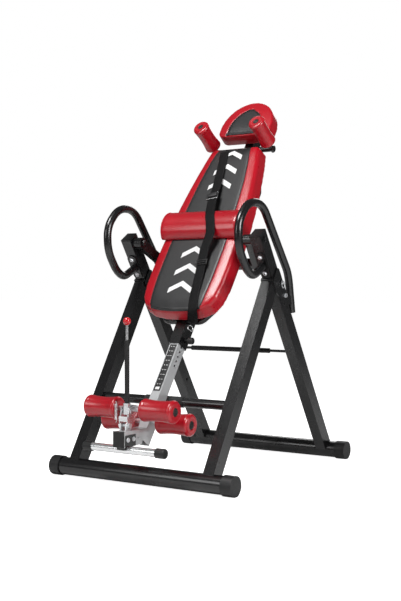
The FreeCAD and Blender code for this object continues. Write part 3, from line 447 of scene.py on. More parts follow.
def turned(profile, sides, close=True):
    """Vertices and faces of a profile of (radius, height) turned about local Z."""
    vertices, faces = [], []
    for radius, height in profile:
        for i in range(sides):
            angle = 2 * math.pi * i / sides
            vertices.append((radius * math.cos(angle), radius * math.sin(angle), height))
    for ring in range(len(profile) - 1):
        for i in range(sides):
            j = (i + 1) % sides
            low, high = ring * sides, (ring + 1) * sides
            faces.append((low + i, low + j, high + j, high + i))
    if close:
        faces.append(tuple(reversed(range(sides))))
        last = (len(profile) - 1) * sides
        faces.append(tuple(range(last, last + sides)))
    return vertices, faces


def swept(points, section, closed=False, across=None):
    """Sweep a section of (width, height) offsets along points; across fixes the width's direction."""
    count = len(points)
    vertices, faces = [], []
    previous = None
    for i, point in enumerate(points):
        ahead = points[(i + 1) % count] if closed or i + 1 < count else point
        behind = points[i - 1] if closed or i > 0 else point
        tangent = (ahead - behind).normalized()
        side = across if across is not None else previous
        if side is None:
            side = tangent.orthogonal()
        side = (side - tangent * side.dot(tangent)).normalized()
        previous = side
        rise = side.cross(tangent) * -1
        for width, height in section:
            vertices.append(point + side * width + rise * height)
    size = len(section)
    runs = count if closed else count - 1
    for i in range(runs):
        here, there = i * size, ((i + 1) % count) * size
        for k in range(size):
            m = (k + 1) % size
            faces.append((here + k, here + m, there + m, there + k))
    if not closed:
        faces.append(tuple(range(size)))
        faces.append(tuple(reversed(range((count - 1) * size, count * size))))
    return vertices, faces


def round_section(radius, sides=10):
    return [(radius * math.cos(2 * math.pi * i / sides), radius * math.sin(2 * math.pi * i / sides))
            for i in range(sides)]


def block(size, centre, bevel, turn=None):
    """A bevelled block as a bmesh."""
    work = bmesh.new()
    bmesh.ops.create_cube(work, size=1.0)
    bmesh.ops.scale(work, vec=Vector(size), verts=work.verts)
    bmesh.ops.bevel(work, geom=work.edges[:], offset=bevel, segments=3, affect="EDGES", profile=0.6)
    if turn is not None:
        bmesh.ops.rotate(work, cent=(0, 0, 0), matrix=turn, verts=work.verts)
    bmesh.ops.translate(work, vec=Vector(centre), verts=work.verts)
    return work


def joined(*works):
    """Several bmeshes as one."""
    whole = works[0]
    for work in works[1:]:
        spare = bpy.data.meshes.new("spare")
        work.to_mesh(spare)
        work.free()
        whole.from_mesh(spare)
        bpy.data.meshes.remove(spare)
    return whole


def as_bmesh(mesh_data, matrix=None):
    spare = bpy.data.meshes.new("spare")
    spare.from_pydata(mesh_data[0], [], mesh_data[1])
    work = bmesh.new()
    work.from_mesh(spare)
    bpy.data.meshes.remove(spare)
    if matrix is not None:
        bmesh.ops.transform(work, matrix=matrix, verts=work.verts)
    return work


def axes_matrix(centre, axis):
    """Local Z along axis, at centre."""
    turn = Vector(axis).to_track_quat("Z", "Y").to_matrix().to_4x4()
    return Matrix.Translation(Vector(centre)) @ turn


def loose_parts(node):
    """Vertex lists of the separate solids in a CAD node."""
    work = bmesh.new()
    work.from_mesh(frame["nodes"][node].data)
    bmesh.ops.remove_doubles(work, verts=work.verts, dist=1e-6)
    left = set(work.verts)
    parts = []
    while left:
        heap = [left.pop()]
        found = []
        while heap:
            vertex = heap.pop()
            found.append(vertex.co.copy())
            for edge in vertex.link_edges:
                other = edge.other_vert(vertex)
                if other in left:
                    left.remove(other)
                    heap.append(other)
        parts.append(found)
    work.free()
    return sorted(parts, key=lambda part: (round(part[0].x, 3), round(part[0].z, 3)))


def middle(points):
    low = Vector([min(point[i] for point in points) for i in range(3)])
    high = Vector([max(point[i] for point in points) for i in range(3)])
    return (low + high) / 2


# ---------------------------------------------------------------- stuffed pads
SWELL_FRAMES = 20
EVEN_ROUNDS = 30


def stuffed(name, node, inset, puff, held_below, body, material):
    """A pad grown from a CAD solid: drawn in (or let out, where inset is below nothing), remeshed,
    swelled as cloth by no more than puff, evened and subdivided."""
    sizes = settings("upholstery")
    back = BED.inverted()
    mesh = frame["nodes"][node].data.copy()
    mesh.name = name
    mesh.transform(back)
    low = Vector([min(vertex.co[i] for vertex in mesh.vertices) for i in range(3)])
    high = Vector([max(vertex.co[i] for vertex in mesh.vertices) for i in range(3)])
    centre = (low + high) / 2
    for vertex in mesh.vertices:
        for i in range(3):
            half = (high[i] - low[i]) / 2
            ratio = (half - inset[i]) / half
            vertex.co[i] = centre[i] + (vertex.co[i] - centre[i]) * ratio
        vertex.co.z -= inset[2]
    item = bpy.data.objects.new(name, mesh)
    bpy.context.scene.collection.objects.link(item)
    remesh = item.modifiers.new("cells", "REMESH")
    remesh.mode = "VOXEL"
    remesh.voxel_size = sizes.voxel
    apply_modifiers(item)
    start = [vertex.co.copy() for vertex in item.data.vertices]
    swell(item, held_below, sizes.pressure)
    moves = [vertex.co - before for vertex, before in zip(item.data.vertices, start)]
    moves = [move.normalized() * min(move.length, puff) for move in moves]
    for vertex, before, move in zip(item.data.vertices, start, evened(item.data, moves, EVEN_ROUNDS)):
        vertex.co = before + move
    divide = item.modifiers.new("finer", "SUBSURF")
    divide.levels = 1
    divide.render_levels = 1
    apply_modifiers(item)
    item.data.materials.clear()
    item.data.materials.append(material)
    for polygon in item.data.polygons:
        polygon.material_index = 0
        polygon.use_smooth = True
    item.matrix_world = BED
    bpy.context.view_layer.update()
    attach(item, body)
    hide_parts(node)
    return item


def evened(mesh, moves, rounds):
    """Moves of a mesh's vertices, each averaged with its neighbours' over and over."""
    near = [[] for _ in mesh.vertices]
    for edge in mesh.edges:
        one, other = edge.vertices
        near[one].append(other)
        near[other].append(one)
    for _ in range(rounds):
        moves = [sum((moves[i] for i in others), move) / (len(others) + 1)
                 for move, others in zip(moves, near)]
    return moves


def swell(item, held_below, pressure):
    """Blow the cover up as cloth, with the side on its board held."""
    held = item.vertex_groups.new(name="held")
    held.add([v.index for v in item.data.vertices if v.co.z < held_below], 1.0, "REPLACE")
    cloth = item.modifiers.new("cover", "CLOTH")
    rules = cloth.settings
    rules.quality = 6
    rules.mass = 0.3
    rules.use_pressure = True
    rules.uniform_pressure_force = pressure
    rules.tension_stiffness = 20.0
    rules.compression_stiffness = 20.0
    rules.shear_stiffness = 8.0
    rules.bending_stiffness = 4.0
    rules.vertex_group_mass = "held"
    rules.effector_weights.gravity = 0.0
    cloth.collision_settings.use_collision = False
    cloth.point_cache.frame_start = 1
    cloth.point_cache.frame_end = SWELL_FRAMES
    for step in range(1, SWELL_FRAMES + 1):
        bpy.context.scene.frame_set(step)
    apply_modifiers(item)
    bpy.context.scene.frame_set(1)


def apply_modifiers(item):
    view = bpy.context.evaluated_depsgraph_get()
    view.update()
    done = bpy.data.meshes.new_from_object(item.evaluated_get(view))
    old = item.data
    item.modifiers.clear()
    item.data = done
    bpy.data.meshes.remove(old)


def surface_of(item):
    """Ray-cast tree of a pad in the bed's own axes."""
    work = bmesh.new()
    work.from_mesh(item.data)
    tree = BVHTree.FromBMesh(work)
    work.free()
    return tree


def drop_on(trees, x, y, gap, miss=0.0):
    """Height just above whatever lies at (x, y) in the bed's own axes."""
    hits = [tree.ray_cast(Vector((x, y, 0.4)), Vector((0, 0, -1)))[0] for tree in trees]
    heights = [hit.z for hit in hits if hit is not None]
    return (max(heights) if heights else miss) + gap


def press_line(item, line, depth, width):
    """Sink the cover along a sewn line of points."""
    spots = [Vector(point) for point in line]
    for vertex in item.data.vertices:
        near = min((vertex.co - spot).length_squared for spot in spots)
        if near < (3 * width) ** 2:
            vertex.co.z -= depth * math.exp(-near / (2 * width * width))


def evenly(points, step):
    """Points spaced evenly along a line of points."""
    spaced = [points[0].copy()]
    left = step
    for start, end in zip(points[:-1], points[1:]):
        run = (end - start).length
        while left <= run:
            spaced.append(start.lerp(end, left / run))
            left += step
        left -= run
    return spaced


def stitches(name, line, length, gap, radius, body, material):
    """Short raised threads along a line of points."""
    spaced = evenly(line, gap)
    vertices, faces = [], []
    for here, there in zip(spaced[:-1], spaced[1:]):
        way = (there - here).normalized()
        run = [here, here + way * length * 0.5 + Vector((0, 0, radius * 0.6)), here + way * length]
        part = swept(run, round_section(radius, 6))
        offset = len(vertices)
        vertices += part[0]
        faces += [tuple(index + offset for index in face) for face in part[1]]
    return piece(name, (vertices, faces), body, material, BED)


# sewn lines, in metres
SEAM_DEPTH = 0.0009
SEAM_WIDTH = 0.003
SEAM_OFFSET = 0.004
STITCH_LENGTH = 0.0034
STITCH_GAP = 0.0055
STITCH_RADIUS = 0.0004
WELT_RADIUS = 0.0016
FOOT_RADIUS = 0.0028
FOOT_HALF = 0.098
PANEL_MARGIN = 0.004
# half widths of the dark panel, from the lower end of the cushion to its head end
PANEL_WIDTHS = ((0.0, 0.098), (0.05, 0.107), (0.18, 0.114), (0.38, 0.115), (0.58, 0.106), (0.76, 0.096),
                (0.87, 0.085), (1.0, 0.066))


def panel_half(fraction):
    """Half width of the dark panel at a fraction of the cushion's length."""
    for (at, half), (then, wide) in zip(PANEL_WIDTHS[:-1], PANEL_WIDTHS[1:]):
        if fraction <= then:
            share = (fraction - at) / (then - at)
            return half + (wide - half) * share
    return PANEL_WIDTHS[-1][1]


def panel_side(sign, first=0.035, last=0.985, count=90):
    return [(sign * panel_half(first + (last - first) * i / count),
             PAD_LENGTH * (first + (last - first) * i / count)) for i in range(count + 1)]


class TABLE_OT_bed_cushion(Operator):
    """Stuffed bed cushion with its dark panel, sewn lines, piping and printed chevrons"""
    bl_idname = "inversion_table.bed_cushion"
    bl_label = "Bed Cushion"

    def execute(self, context):
        sizes = settings("upholstery")
        material = panelled_vinyl("cushion_vinyl", PANEL_WIDTHS, PANEL_MARGIN, PAD_LENGTH - PANEL_MARGIN,
                                  -0.010)
        pad = stuffed("bed_cushion", "cushion", (-0.006, -0.004, 0.001), sizes.cushion_puff, -0.046,
                      "bed", material)
        tree = surface_of(pad)
        for sign in (-1, 1):
            seam = [Vector((x, y, drop_on([tree], x, y, 0.0))) for x, y in panel_side(sign)]
            press_line(pad, seam, SEAM_DEPTH, SEAM_WIDTH)
        tree = surface_of(pad)
        MADE["cushion_tree"] = tree
        for sign, word in ((-1, "left"), (1, "right")):
            side = panel_side(sign)
            beside = [(x + sign * SEAM_OFFSET, y) for x, y in side]
            outer = [Vector((x, y, drop_on([tree], x, y, 0.0))) for x, y in beside]
            stitches("cushion_stitches_" + word, relaxed(outer, 4), STITCH_LENGTH, STITCH_GAP,
                     STITCH_RADIUS, "bed", finish("red_thread"))
            welt = [Vector((x, y, drop_on([tree], x, y, 0.0002))) for x, y in side]
            cord = swept(relaxed(welt, 4), round_section(WELT_RADIUS, 8))
            piece("cushion_panel_welt_" + word, cord, "bed", finish("black_thread"), BED)
        foot = []
        for i in range(31):
            x = FOOT_HALF * (i / 15 - 1)
            y = 0.005 + 0.011 * (x / 0.1) ** 2
            foot.append(Vector((x, y, drop_on([tree], x, y, 0.0))))
        cord = swept(relaxed(foot, 4), round_section(FOOT_RADIUS, 10))
        piece("cushion_panel_foot", cord, "bed", finish("plastic"), BED)
        chevrons("cushion_chevrons", tree)
        return {"FINISHED"}


CHEVRON_AT = (0.070, 0.145, 0.220, 0.530, 0.600, 0.670)
CHEVRON_HALF = 0.048
CHEVRON_RISE = 0.030
CHEVRON_BAND = 0.022


def chevrons(name, tree):
    """White printed chevrons down the panel, laid just above its cover."""
    vertices, faces = [], []
    steps = 16
    for y0 in CHEVRON_AT:
        for sign in (-1, 1):
            offset = len(vertices)
            for i in range(steps + 1):
                x = sign * CHEVRON_HALF * i / steps
                tip = y0 + CHEVRON_RISE * (1 - i / steps)
                for y in (tip, tip + CHEVRON_BAND / 2, tip + CHEVRON_BAND):
                    vertices.append((x, y, drop_on([tree], x, y, 0.0004)))
            for i in range(steps):
                for k in range(2):
                    a = offset + i * 3 + k
                    faces.append((a, a + 1, a + 4, a + 3))
    return piece(name, (vertices, faces), "bed", finish("print"), BED)


class TABLE_OT_lumbar_roll(Operator):
    """Half-round lumbar roll lying on the cushion, with piping round its ends"""
    bl_idname = "inversion_table.lumbar_roll"
    bl_label = "Lumbar Roll"

    def execute(self, context):
        sizes = settings("upholstery")
        roll = stuffed("lumbar_roll", "lumbar_pillow", (0.003, 0.002, 0.001), sizes.roll_puff, 0.004,
                       "bed", finish("vinyl"))
        tree = surface_of(roll)
        MADE["roll_tree"] = tree
        low, high = bed_box("lumbar_pillow")
        for sign, word in ((-1, "left"), (1, "right")):
            x = sign * (high.x - 0.010)
            count = 40
            line = []
            for i in range(count + 1):
                y = low.y + 0.004 + (high.y - low.y - 0.008) * i / count
                line.append(Vector((x, y, drop_on([tree], x, y, 0.0))))
            press_line(roll, line, 0.0014, 0.0025)
            piece("lumbar_roll_piping_" + word, swept(line, round_section(sizes.piping, 8)), "bed",
                  finish("vinyl"), BED)
        return {"FINISHED"}


# half widths of the head pad's insert, from its lower edge up
HEAD_PANEL = ((0.0, 0.070), (0.35, 0.068), (0.6, 0.058), (0.82, 0.040), (1.0, 0.010))
LIP_RISE = 0.0022


class TABLE_OT_head_pad(Operator):
    """Stuffed head pad with its dark insert and piping"""
    bl_idname = "inversion_table.head_pad"
    bl_label = "Head Pad"

    def execute(self, context):
        sizes = settings("upholstery")
        low, high = bed_box("head_pad")
        bottom, top = low.y + 0.002, high.y - 0.036
        material = panelled_vinyl("head_vinyl", HEAD_PANEL, bottom, top, high.z - 0.012)
        pad = stuffed("head_cushion", "head_pad", (-0.006, -0.006, 0.0), sizes.head_puff, low.z + 0.008,
                      "headrest", material)
        tree = surface_of(pad)
        count = 24
        shares = [i / count for i in range(count + 1)]
        right = [(head_half(share), bottom + (top - bottom) * share) for share in shares]
        line = right + [(-x, y) for x, y in reversed(right)]
        line = [Vector((x, y, drop_on([tree], x, y, -0.0008, high.z - 0.01))) for x, y in line]
        lip = [Vector((x, bottom + 0.002, drop_on([tree], x, bottom + 0.002, 0.0005, high.z - 0.01)))
               for x in [-0.074 + 0.148 * i / 20 for i in range(21)]]
        press_line(pad, line, 0.0018, 0.003)
        cord = swept(line, round_section(WELT_RADIUS, 8))
        piece("head_panel_welt", cord, "headrest", finish("black_thread"),
              BED)
        band = [(height, out * LIP_RISE) for height, out in
                ((-0.006, 0), (-0.0045, 0.8), (0, 1), (0.0045, 0.8), (0.006, 0), (0.0045, -0.8),
                 (-0.0045, -0.8))]
        piece("head_panel_lip", swept(relaxed(lip, 6), band, across=Vector((0, 1, 0))), "headrest",
              finish("plastic"), BED)
        return {"FINISHED"}


def head_half(share):
    for (at, half), (then, wide) in zip(HEAD_PANEL[:-1], HEAD_PANEL[1:]):
        if share <= then:
            return half + (wide - half) * (share - at) / (then - at)
    return HEAD_PANEL[-1][1]


# ---------------------------------------------------------------- rollers
def roller_profile(radius, waist, length, bore, pocket, depth):
    """Waisted foam roller from z 0 to length: a sewn line near each end, a pocket at the far one."""
    seam = settings("rollers").dimple
    profile = [(bore, 0.002), (radius * 0.55, 0.0), (radius * 0.80, 0.0004)]
    steps = 8
    lip = 0.009
    for i in range(steps + 1):
        angle = math.pi / 2 * i / steps
        profile.append((radius - lip + lip * math.sin(angle), 0.001 + lip * (1 - math.cos(angle))))
    body = 36
    for i in range(1, body):
        share = i / body
        z = lip + 0.001 + (length - 2 * lip - 0.002) * share
        r = waist + (radius - waist) * (2 * share - 1) ** 2
        for mark in (0.018, length - 0.018):
            r -= seam * math.exp(-((z - mark) / 0.0016) ** 2)
        profile.append((r, z))
    for i in range(steps + 1):
        angle = math.pi / 2 * (1 - i / steps)
        fall = lip * (1 - math.cos(angle))
        profile.append((radius - lip + lip * math.sin(angle), length - 0.001 - fall))
    profile += [(radius * 0.75, length), (pocket + 0.0015, length - 0.0004), (pocket, length - 0.002)]
    profile += [(pocket, length - depth), (bore, length - depth)]
    return profile


def closed_turn(profile, sides):
    """Turned shell whose profile closes on itself round a bore."""
    vertices, faces = turned(profile, sides, close=False)
    last = (len(profile) - 1) * sides
    for i in range(sides):
        j = (i + 1) % sides
        faces.append((last + i, last + j, j, i))
    return vertices, faces


def soft_ripple(mesh_data, amount):
    """Slight unevenness of stretched vinyl round a roller."""
    vertices = []
    for x, y, z in mesh_data[0]:
        angle = math.atan2(y, x)
        ripple = 1 + amount * math.sin(3 * angle + 40 * z) * math.sin(55 * z + 1.3)
        vertices.append((x * ripple, y * ripple, z))
    return vertices, mesh_data[1]


class TABLE_OT_ankle_rollers(Operator):
    """Four waisted ankle rollers with their end plugs"""
    bl_idname = "inversion_table.ankle_rollers"
    bl_label = "Ankle Rollers"

    def execute(self, context):
        sides = settings("rollers").turns
        for row in ("front", "rear"):
            for word, sign in (("left", -1), ("right", 1)):
                node = "%s_roller_%s" % (row, word)
                low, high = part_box(node)
                radius = (high.z - low.z) / 2 - 0.0003
                length = high.x - low.x
                inner = low.x if sign > 0 else high.x
                spot = Vector((inner, (low.y + high.y) / 2, (low.z + high.z) / 2))
                profile = roller_profile(radius, radius - 0.004, length, 0.0082, 0.0145, 0.0056)
                shell = soft_ripple(closed_turn(profile, sides), 0.004)
                matrix = axes_matrix(spot, (sign, 0, 0))
                roller = piece(node.replace("roller", "ankle_roller"), shell, node, finish("vinyl"),
                               matrix)
                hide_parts(node)
                steps = ((0.0138, 0.0054), (0.0138, 0.0026), (0.0125, 0.0014), (0.0085, 0.0014),
                         (0.0070, 0.0040), (0.0030, 0.0044))
                plug = turned([(r, length - sunk) for r, sunk in steps], 40)
                piece(node + "_plug", plug, node, finish("plug"), matrix)
        return {"FINISHED"}


class TABLE_OT_shoulder_rollers(Operator):
    """Two waisted shoulder rollers standing out of the bed"""
    bl_idname = "inversion_table.shoulder_rollers"
    bl_label = "Shoulder Rollers"

    def execute(self, context):
        sides = settings("rollers").turns
        low, high = bed_box("shoulder_rollers")
        bore_line = high.x - (high.y - low.y) / 2
        radius = (high.y - low.y) / 2 + 0.002
        length = high.z - low.z
        for word, sign in (("left", -1), ("right", 1)):
            x = sign * bore_line
            spot = BED @ Vector((x, (low.y + high.y) / 2, low.z))
            matrix = Matrix.Translation(spot) @ BED.to_3x3().to_4x4()
            profile = roller_profile(radius, radius - 0.0035, length, 0.0082, 0.0105, 0.004)
            shell = soft_ripple(closed_turn(profile, sides), 0.004)
            name = "shoulder_roller_" + word
            roller = piece(name, shell, "bed", finish("vinyl"), matrix)
            steps = ((0.0100, 0.0038), (0.0100, 0.0020), (0.0088, 0.0010), (0.0060, 0.0012),
                     (0.0040, 0.0034))
            plug = turned([(r, length - sunk) for r, sunk in steps], 36)
            piece("shoulder_plug_" + word, plug, "bed", finish("plug"), matrix)
        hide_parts("shoulder_rollers")
        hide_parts("shoulder_plugs")
        return {"FINISHED"}


# ---------------------------------------------------------------- belt
# where the webbing runs over the pads: across, and along the bed from the cushion's lower end
BELT_RUN = ((-0.0365, 0.7156), (-0.0233, 0.645), (-0.015, 0.592), (-0.0023, 0.529), (0.0046, 0.477),
            (0.026, 0.411), (0.0534, 0.347), (0.0637, 0.303), (0.059, 0.273), (0.0535, 0.242),
            (0.0568, 0.1995), (0.0622, 0.146), (0.0667, 0.097), (0.0718, 0.048), (0.078, 0.010))
# then round the cushion's lower edge to the ring behind it: across, along and out of the face
BELT_END = ((0.079, 0.003, 0.0005), (0.079, -0.0015, -0.006), (0.0755, -0.0045, -0.018),
            (0.062, -0.0065, -0.043), (0.049, -0.0075, -0.067))
BUCKLE_AT = 0.479
SLIDER_AT = 0.192
RING_RADIUS = 0.011


def belt_line():
    """Centre line of the webbing: over cushion and roll, then round the cushion's lower edge."""
    trees = [MADE["cushion_tree"], MADE["roll_tree"]]
    flat = evenly([Vector((x, y, 0)) for x, y in BELT_RUN], 0.004)
    half = settings("webbing").width / 2
    heights = []
    for point in flat:
        spots = [drop_on(trees, point.x + shift, point.y, 0.0016) for shift in (-half, 0.0, half)]
        heights.append(max(spots))
    base = list(heights)
    for _ in range(500):
        for i in range(1, len(heights) - 1):
            heights[i] = max(base[i], (heights[i - 1] + heights[i + 1]) / 2)
    line = [Vector((point.x, point.y, height)) for point, height in zip(flat, heights)]
    return line + [Vector(point) for point in BELT_END]


class TABLE_OT_lumbar_belt(Operator):
    """Woven belt with its cam buckle, slider and end ring"""
    bl_idname = "inversion_table.lumbar_belt"
    bl_label = "Lumbar Belt"

    def execute(self, context):
        sizes = settings("webbing")
        half, thick = sizes.width / 2, sizes.thickness / 2
        edges = ((-1, -0.4), (-1, 0.4), (-0.96, 1), (-0.5, 1), (0, 1), (0.5, 1), (0.96, 1), (1, 0.4),
                 (1, -0.4), (0.96, -1), (0, -1), (-0.96, -1))
        section = [(half * x, thick * z) for x, z in edges]
        line = belt_line()
        smooth = relaxed(line, 3)
        belt = piece("lumbar_belt", swept(smooth, section, across=Vector((1, 0.12, 0))), "bed",
                     finish("webbing"), BED)
        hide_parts("belt")
        for sign, word in ((-1, "left"), (1, "right")):
            edge = [point + Vector((sign * (half - 0.004), 0, thick + 0.0001)) for point in smooth[:-6]]
            stitches("belt_stitches_" + word, edge, 0.0024, 0.0040, 0.0003, "bed", finish("black_thread"))
        self.buckle(smooth)
        self.slider(smooth)
        self.ring()
        return {"FINISHED"}

    def buckle(self, line):
        spot = nearest(line, BUCKLE_AT)
        turn = Matrix.Rotation(math.radians(10), 3, "Z")
        base = block((0.046, 0.030, 0.0035), spot + Vector((0, 0, 0.0035)), 0.001, turn)
        lever = block((0.036, 0.017, 0.0050), spot + Vector((0.001, 0.004, 0.0078)), 0.0016, turn)
        rib = block((0.030, 0.002, 0.0015), spot + Vector((0.002, 0.008, 0.0108)), 0.0006, turn)
        whole = joined(base, lever, rib)
        body = piece("belt_buckle", whole, "bed", finish("plastic"), BED)
        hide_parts("belt_hardware")
        bars = [block((0.040, 0.0018, 0.0020), spot + Vector((0, shift, 0.0062)), 0.0006, turn)
                for shift in (-0.0125, 0.0140)]
        piece("belt_buckle_bars", joined(*bars), "bed", finish("chrome"), BED)

    def slider(self, line):
        spot = nearest(line, SLIDER_AT)
        turn = Matrix.Rotation(math.radians(8), 3, "Z")
        bars = [block((0.045, 0.0028, 0.0028), spot + Vector((0, shift, 0.0030)), 0.001, turn)
                for shift in (-0.0085, 0.0, 0.0085)]
        ends = [block((0.0028, 0.0195, 0.0028), spot + Vector((shift, 0, 0.0030)), 0.001, turn)
                for shift in (-0.0215, 0.0215)]
        piece("belt_slider", joined(*bars, *ends), "bed", finish("plastic"), BED)

    def ring(self):
        parts = loose_parts("belt_hardware")
        back = BED.inverted()
        centres = [back @ middle(part) for part in parts]
        centre = min(centres, key=lambda point: point.z)
        radius = RING_RADIUS
        line = []
        for i in range(40):
            angle = 2 * math.pi * i / 40
            y = radius * math.sin(angle)
            flat = max(y, -radius * 0.55) if y < 0 else y
            side = radius * math.cos(angle)
            line.append(centre + Vector((-0.37 * side, flat, 0.93 * side)))
        piece("belt_ring", swept(line, round_section(0.0017, 10), closed=True), "bed", finish("chrome"),
              BED)


def relaxed(line, rounds):
    """A line of points eased towards its neighbours, ends kept."""
    points = [point.copy() for point in line]
    for _ in range(rounds):
        for i in range(1, len(points) - 1):
            eased = (points[i - 1] + points[i + 1]) / 2
            points[i] = points[i].lerp(eased, 0.5)
    return points


def nearest(line, y):
    return min(line, key=lambda point: abs(point.y - y) + (10 if point.z < -0.003 else 0))


# ---------------------------------------------------------------- small fittings
def hex_head(centre, axis, across, height):
    """Chamfered six-sided head on a washer, as a bmesh."""
    flats = across / 2
    corner = flats / math.cos(math.pi / 6)
    washer = turned([(corner * 0.5, 0.0), (corner * 1.22, 0.0), (corner * 1.25, 0.0004),
                     (corner * 1.22, 0.0011), (corner * 0.5, 0.0012)], 36)
    ring = [(corner * 0.97, 0.0011), (corner, 0.0018), (corner, height - 0.0008), (corner * 0.93, height)]
    head = turned(ring, 6)
    whole = joined(as_bmesh(washer), as_bmesh(head))
    bmesh.ops.transform(whole, matrix=axes_matrix(centre, axis), verts=whole.verts)
    return whole


def shank(start, end, radius):
    way = end - start
    length = way.length
    ends = ((0.8, 0.0), (1.0, 0.0006), (1.0, length - 0.0006), (0.8, length))
    rod = turned([(radius * share, height) for share, height in ends], 24)
    return as_bmesh(rod, axes_matrix(start, way))


class TABLE_OT_bolts(Operator):
    """Bolts with washers at the pivots, hinges, handles and foot bar"""
    bl_idname = "inversion_table.bolts"
    bl_label = "Bolts"

    def execute(self, context):
        self.sideways("pivot_bolts", "rear_frame", across=0.016, height=0.0055, radius=0.008, nut=True,
                      look="coat", slot="black_tube")
        self.sideways("fold_hinge_bolts", "rear_frame", across=0.012, height=0.0055, radius=0.005,
                      nut=True, look="zinc", slot="zinc_steel")
        self.sideways("foot_bar_bolts", "leg_tube", across=0.011, height=0.0038, radius=0.004,
                      nut=False, look="zinc", slot="zinc_steel")
        self.handle_bolts()
        return {"FINISHED"}

    def sideways(self, node, body, across, height, radius, nut, look, slot):
        works = []
        for part in loose_parts(node):
            centre = middle(part)
            sign = 1 if centre.x > 0 else -1
            ends = sorted((min(p.x for p in part), max(p.x for p in part)), key=abs)
            inner, outer = Vector((ends[0], centre.y, centre.z)), Vector((ends[1], centre.y, centre.z))
            way = Vector((sign, 0, 0))
            works.append(shank(inner + way * 0.0005, outer - way * 0.002, radius))
            works.append(hex_head(outer - way * height, way, across, height))
            if nut:
                works.append(hex_head(inner + way * (height + 0.0005), -way, across, height - 0.001))
        bolts = piece(node + "_hex", joined(*works), body, finish(look))
        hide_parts(node)

    def handle_bolts(self):
        works, socket_shades = [], []
        lean = self.lean()
        post = Vector((0, -math.cos(lean), -math.sin(lean)))
        for part in loose_parts("handle_bolts"):
            centre = middle(part)
            reach = max((point - centre).dot(post) for point in part)
            base = centre + post * (reach - 0.005)
            works.append(shank(base - post * 0.012, base + post * 0.002, radius=0.004))
            works.append(hex_head(base, post, across=0.011, height=0.0045))
            # a thin dark disc on each head's top stands in for the socket recess: painted shade in place
            # of a modelled hole
            socket_shades.append(shank(base + post * 0.004, base + post * 0.0048, radius=0.003))
        piece("handle_bolt_socket_shades", joined(*socket_shades), "rear_frame", finish("plug"))
        bolts = piece("handle_bolts_hex", joined(*works), "rear_frame", finish("zinc"))
        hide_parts("handle_bolts")

    def lean(self):
        """Angle of the rear legs from vertical, from the handle bolts up a leg."""
        bolts = [middle(part) for part in loose_parts("handle_bolts")]
        lowest = min(bolts, key=lambda point: point.z)
        highest = max(bolts, key=lambda point: point.z)
        run = highest - lowest
        return math.atan2(abs(run.y), abs(run.z))


SCALE_MARKS = 9


class TABLE_OT_scale_strip(Operator):
    """Height scale on the leg tube: a dark strip with white marks"""
    bl_idname = "inversion_table.scale_strip"
    bl_label = "Height Scale"

    def execute(self, context):
        low, high = bed_box("height_scale_strip")
        middle_x = (low.x + high.x) / 2
        size = (high.x - low.x, high.y - low.y, 0.0005)
        backing = block(size, (middle_x, (low.y + high.y) / 2, low.z + 0.0005), 0.00015)
        strip = piece("height_strip", backing, "leg_tube", finish("plastic"), BED)
        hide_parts("height_scale_strip")
        marks = [block((0.016, 0.010, 0.0003), (middle_x, low.y + 0.010, low.z + 0.0008), 0.0001)]
        start = low.y + 0.026
        step = (high.y - start - 0.008) / (SCALE_MARKS - 1)
        for i in range(SCALE_MARKS):
            y = start + step * i
            marks.append(block((0.0085, 0.0014, 0.0003), (middle_x + 0.004, y, low.z + 0.0008), 0.0001))
            marks.append(block((0.003, 0.003, 0.0003), (middle_x - 0.006, y, low.z + 0.0008), 0.0001))
        piece("height_marks", joined(*marks), "leg_tube", finish("print"), BED)
        return {"FINISHED"}


class TABLE_OT_clamp_spring(Operator):
    """Coil spring beside the ankle clamp, with its hooked ends"""
    bl_idname = "inversion_table.clamp_spring"
    bl_label = "Clamp Spring"

    def execute(self, context):
        low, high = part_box("clamp_spring")
        centre = (low + high) / 2
        radius = (high.x - low.x) / 2 - 0.0009
        length = high.z - low.z
        turns, steps = 15, 14
        line = [Vector((centre.x, centre.y, low.z))]
        for i in range(turns * steps + 1):
            angle = 2 * math.pi * i / steps
            z = low.z + 0.008 + (length - 0.016) * i / (turns * steps)
            x, y = radius * math.cos(angle), radius * math.sin(angle)
            line.append(Vector((centre.x + x, centre.y + y, z)))
        line.append(Vector((centre.x, centre.y, high.z)))
        coil = piece("clamp_coil", swept(line, round_section(0.0009, 8)), "clamp_arm", finish("zinc"))
        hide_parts("clamp_spring")
        return {"FINISHED"}


class TABLE_OT_lever_knob(Operator):
    """Red ball knob on the clamp lever, and its ribbed grip"""
    bl_idname = "inversion_table.lever_knob"
    bl_label = "Lever Knob and Grip"

    def execute(self, context):
        low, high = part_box("lever_ball")
        centre = (low + high) / 2
        radius = (high.x - low.x) / 2
        steps = 26
        profile = [(0.0062, -radius + 0.0012), (0.0066, -radius + 0.0004)]
        for i in range(3, steps):
            angle = -math.pi / 2 + math.pi * i / steps
            profile.append((radius * math.cos(angle), radius * math.sin(angle)))
        profile.append((0.0004, radius))
        knob = piece("lever_knob", turned(profile, 48), "lever", finish("ball"),
                     Matrix.Translation(centre))
        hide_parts("lever_ball")
        low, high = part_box("lever_grip")
        centre = (low + high) / 2
        radius = (high.x - low.x) / 2
        length = high.z - low.z
        rings = 60
        profile = [(radius * 0.7, 0.0), (radius * 0.97, 0.0008)]
        for i in range(rings):
            z = 0.003 + (length - 0.006) * i / rings
            profile.append((radius - (0.0004 if i % 2 else 0.0), z))
        profile += [(radius * 0.98, length - 0.002), (radius * 0.8, length - 0.0004), (0.0046, length)]
        grip = piece("lever_sleeve", turned(profile, 40), "lever", finish("foam"),
                     Matrix.Translation(Vector((centre.x, centre.y, low.z))))
        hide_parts("lever_grip")
        return {"FINISHED"}


